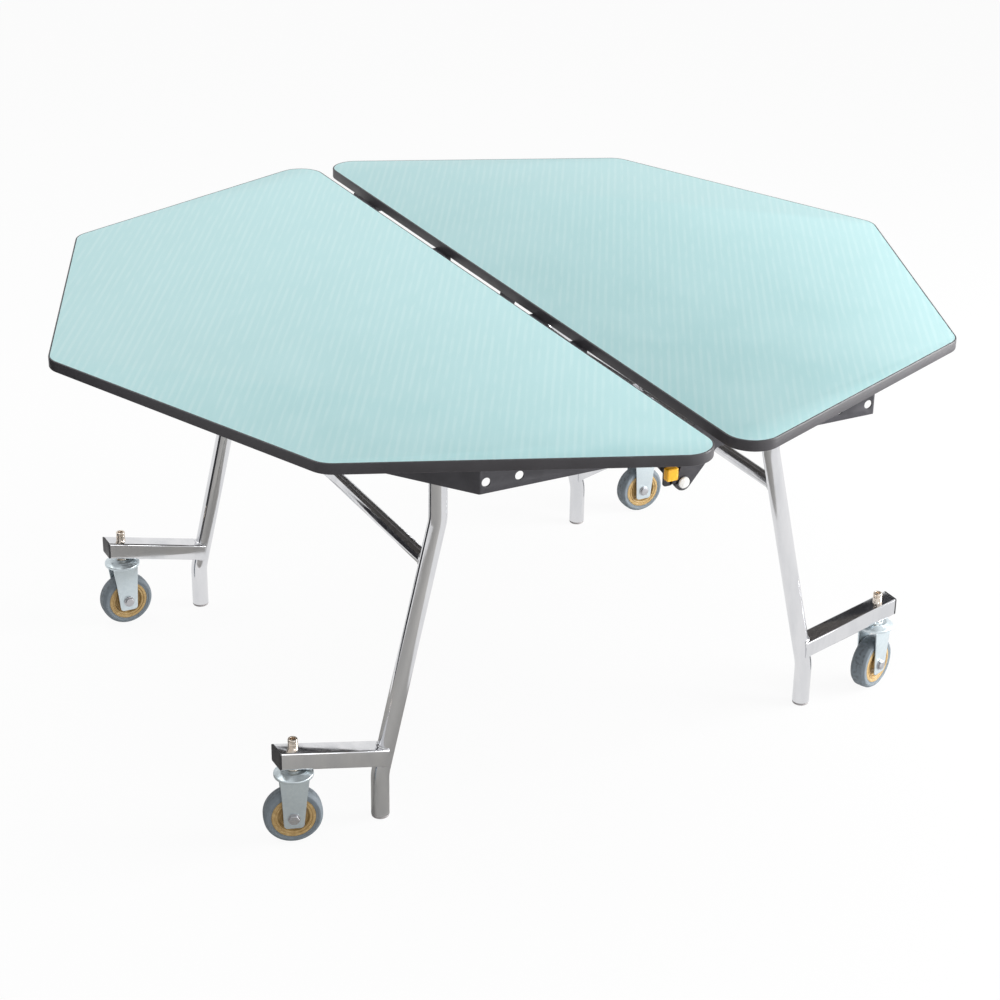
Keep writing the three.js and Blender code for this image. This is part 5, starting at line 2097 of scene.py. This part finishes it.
@dataclass
class Studio:
    """A pale floor, soft lamps, a white surround, cards for the metal to mirror, and the camera."""

    azimuth: float = -27.932
    elevation: float = 25.395
    roll: float = 0.923
    camera_place: Spot = (-1.8445, -3.5110, 2.2102)
    lens: float = 83.38
    sensor: float = 36.0
    far_clip: float = 200.0
    floor_half: float = 30.0
    floor_tone: Tone = (238, 238, 238)
    floor_glow: float = 0.93
    matt: float = 0.9
    surround: float = 0.5
    lamp_target: Spot = (0.0, 0.0, 0.5)
    lamps: tuple[Lamp, ...] = (
        Lamp("key", (3.0, -1.4, 1.1), 2.0, 170.0),
        Lamp("top", (-1.2, 1.4, 3.8), 2.8, 50.0),
        Lamp("fill", (0.6, -4.0, 1.0), 1.8, 30.0),
    )
    cards: tuple[Card, ...] = (
        # The floor card is painted shade: its grey stands in for the less lit floor at the left, and only the
        # metal's reflections show it.
        Card(
            "floor_shade_card",
            ((-4, -4, 0.001), (-0.06, -4, 0.001), (-0.06, 0.2, 0.001), (-4, 0.2, 0.001)),
            (188, 186, 182),
        ),
        Card("high_card", ((0.4, 1, 2.6), (3, 1, 2.6), (3, 3.6, 2.6), (0.4, 3.6, 2.6)), (44, 44, 48)),
        Card("side_card", ((-1.3, 0.1, 0), (-0.95, 0.55, 0), (-0.95, 0.55, 1), (-1.3, 0.1, 1)), (34, 34, 38)),
    )

    def camera(self) -> None:
        """The camera at the photograph's place, turned by its azimuth, elevation and roll."""
        a, e, r = (math.radians(angle) for angle in (self.azimuth, self.elevation, self.roll))
        back = Vector((math.sin(a) * math.cos(e), -math.cos(a) * math.cos(e), math.sin(e)))
        right = Vector((math.cos(a), math.sin(a), 0))
        up = right.cross(-back)
        across = math.cos(r) * right + math.sin(r) * up
        upright = math.cos(r) * up - math.sin(r) * right
        lens = bpy.data.cameras.new("camera")
        lens.lens = self.lens
        lens.sensor_width = self.sensor
        lens.clip_end = self.far_clip
        camera = bpy.data.objects.new("camera", lens)
        turned = Matrix((across, upright, back)).transposed().to_4x4()
        camera.matrix_world = Matrix.Translation(self.camera_place) @ turned
        bpy.context.scene.collection.objects.link(camera)
        bpy.context.scene.camera = camera

    def light(self, lamp: Lamp) -> None:
        """Puts up one lamp, facing the middle of the table.

        Args:
            lamp: The lamp to put up.
        """
        light = bpy.data.lights.new(lamp.name, "AREA")
        light.size = lamp.size
        light.energy = lamp.power
        stand = bpy.data.objects.new(lamp.name, light)
        aim = Vector(self.lamp_target) - Vector(lamp.place)
        turned = aim.to_track_quat("-Z", "Y").to_matrix().to_4x4()
        stand.matrix_world = Matrix.Translation(lamp.place) @ turned
        bpy.context.scene.collection.objects.link(stand)

    def seen_directly(self, tree: ShaderTree) -> bpy.types.NodeSocket:
        """1 for rays from the camera, off gloss or through glass, and 0 for the rest.

        Args:
            tree: The shader to add the nodes to.

        Returns:
            The share of the ray seen directly.
        """
        path = tree.node("ShaderNodeLightPath")
        either = tree.math("MAXIMUM", path.outputs["Is Camera Ray"], path.outputs["Is Glossy Ray"])
        return tree.math("MAXIMUM", either, path.outputs["Is Transmission Ray"])

    def world(self) -> None:
        """A white surround where it is seen directly or mirrored, and softer light elsewhere."""
        world = bpy.data.worlds.new("surround")
        world.use_nodes = True
        bpy.context.scene.world = world
        tree = ShaderTree(world.node_tree)
        white = tree.node("ShaderNodeBackground", {"Color": (1, 1, 1, 1), "Strength": 1.0})
        soft = tree.node("ShaderNodeBackground", {"Color": (1, 1, 1, 1), "Strength": self.surround})
        shares = {0: self.seen_directly(tree), 1: soft.outputs[0], 2: white.outputs[0]}
        tree.node("ShaderNodeOutputWorld", {"Surface": tree.node("ShaderNodeMixShader", shares).outputs[0]})

    def sheet(self, name: str, corners: tuple, tone: Tone, glow: float = 0.0) -> bpy.types.Object:
        """A flat four-cornered sheet of the studio.

        Args:
            name: The sheet's name.
            corners: Its corners, in metres.
            tone: Its colour.
            glow: The share of white light that it gives where it is seen.

        Returns:
            The sheet's object.
        """
        mesh = bpy.data.meshes.new(name)
        mesh.from_pydata(corners, [], [(0, 1, 2, 3)])
        made = bpy.data.materials.new(name)
        made.use_nodes = True
        tree = ShaderTree(made.node_tree)
        paint = tree.node("ShaderNodeBsdfPrincipled", {"Base Color": linear(tone), "Roughness": self.matt})
        surface = paint.outputs[0]
        if glow:
            white = tree.node("ShaderNodeEmission", {"Color": (1, 1, 1, 1), "Strength": 1.0})
            share = tree.math("MULTIPLY", self.seen_directly(tree), glow)
            both = {0: share, 1: surface, 2: white.outputs[0]}
            surface = tree.node("ShaderNodeMixShader", both).outputs[0]
        tree.node("ShaderNodeOutputMaterial", {"Surface": surface})
        mesh.materials.append(made)
        sheet = bpy.data.objects.new(name, mesh)
        bpy.context.scene.collection.objects.link(sheet)
        return sheet

    def floor(self) -> None:
        """A wide pale floor that takes the table's shadow, and glows a little where it is seen."""
        span = (-self.floor_half, self.floor_half)
        corners = tuple((x, y, 0) for x, y in rectangle(span, span))
        self.sheet("floor", corners, self.floor_tone, self.floor_glow)

    def mirrored_card(self, card: Card) -> None:
        """Puts up one card, out of sight but for mirrored rays.

        Args:
            card: The card to put up.
        """
        sheet = self.sheet(card.name, card.corners, card.tone)
        sheet.visible_camera = False
        sheet.visible_diffuse = False
        sheet.visible_shadow = False

    def build(self) -> None:
        """Sets up the whole studio."""
        bpy.context.scene.view_settings.view_transform = "Standard"
        self.camera()
        self.world()
        self.floor()
        for lamp in self.lamps:
            self.light(lamp)
        for card in self.cards:
            self.mirrored_card(card)


def main() -> None:
    """Builds the studio and then the table, half by half."""
    logging.basicConfig(level=logging.INFO, format="%(name)s: %(message)s")
    Studio().build()
    for side in Side:
        TableTop(side).build()
        StopRail(side).build()
        LegFrame(side).build()
        for place in Place:
            Apron(side, place).build()
            Caster(side, place).build()
    Linkage().build()
    Latch().build()


if __name__ == "__main__":
    main()
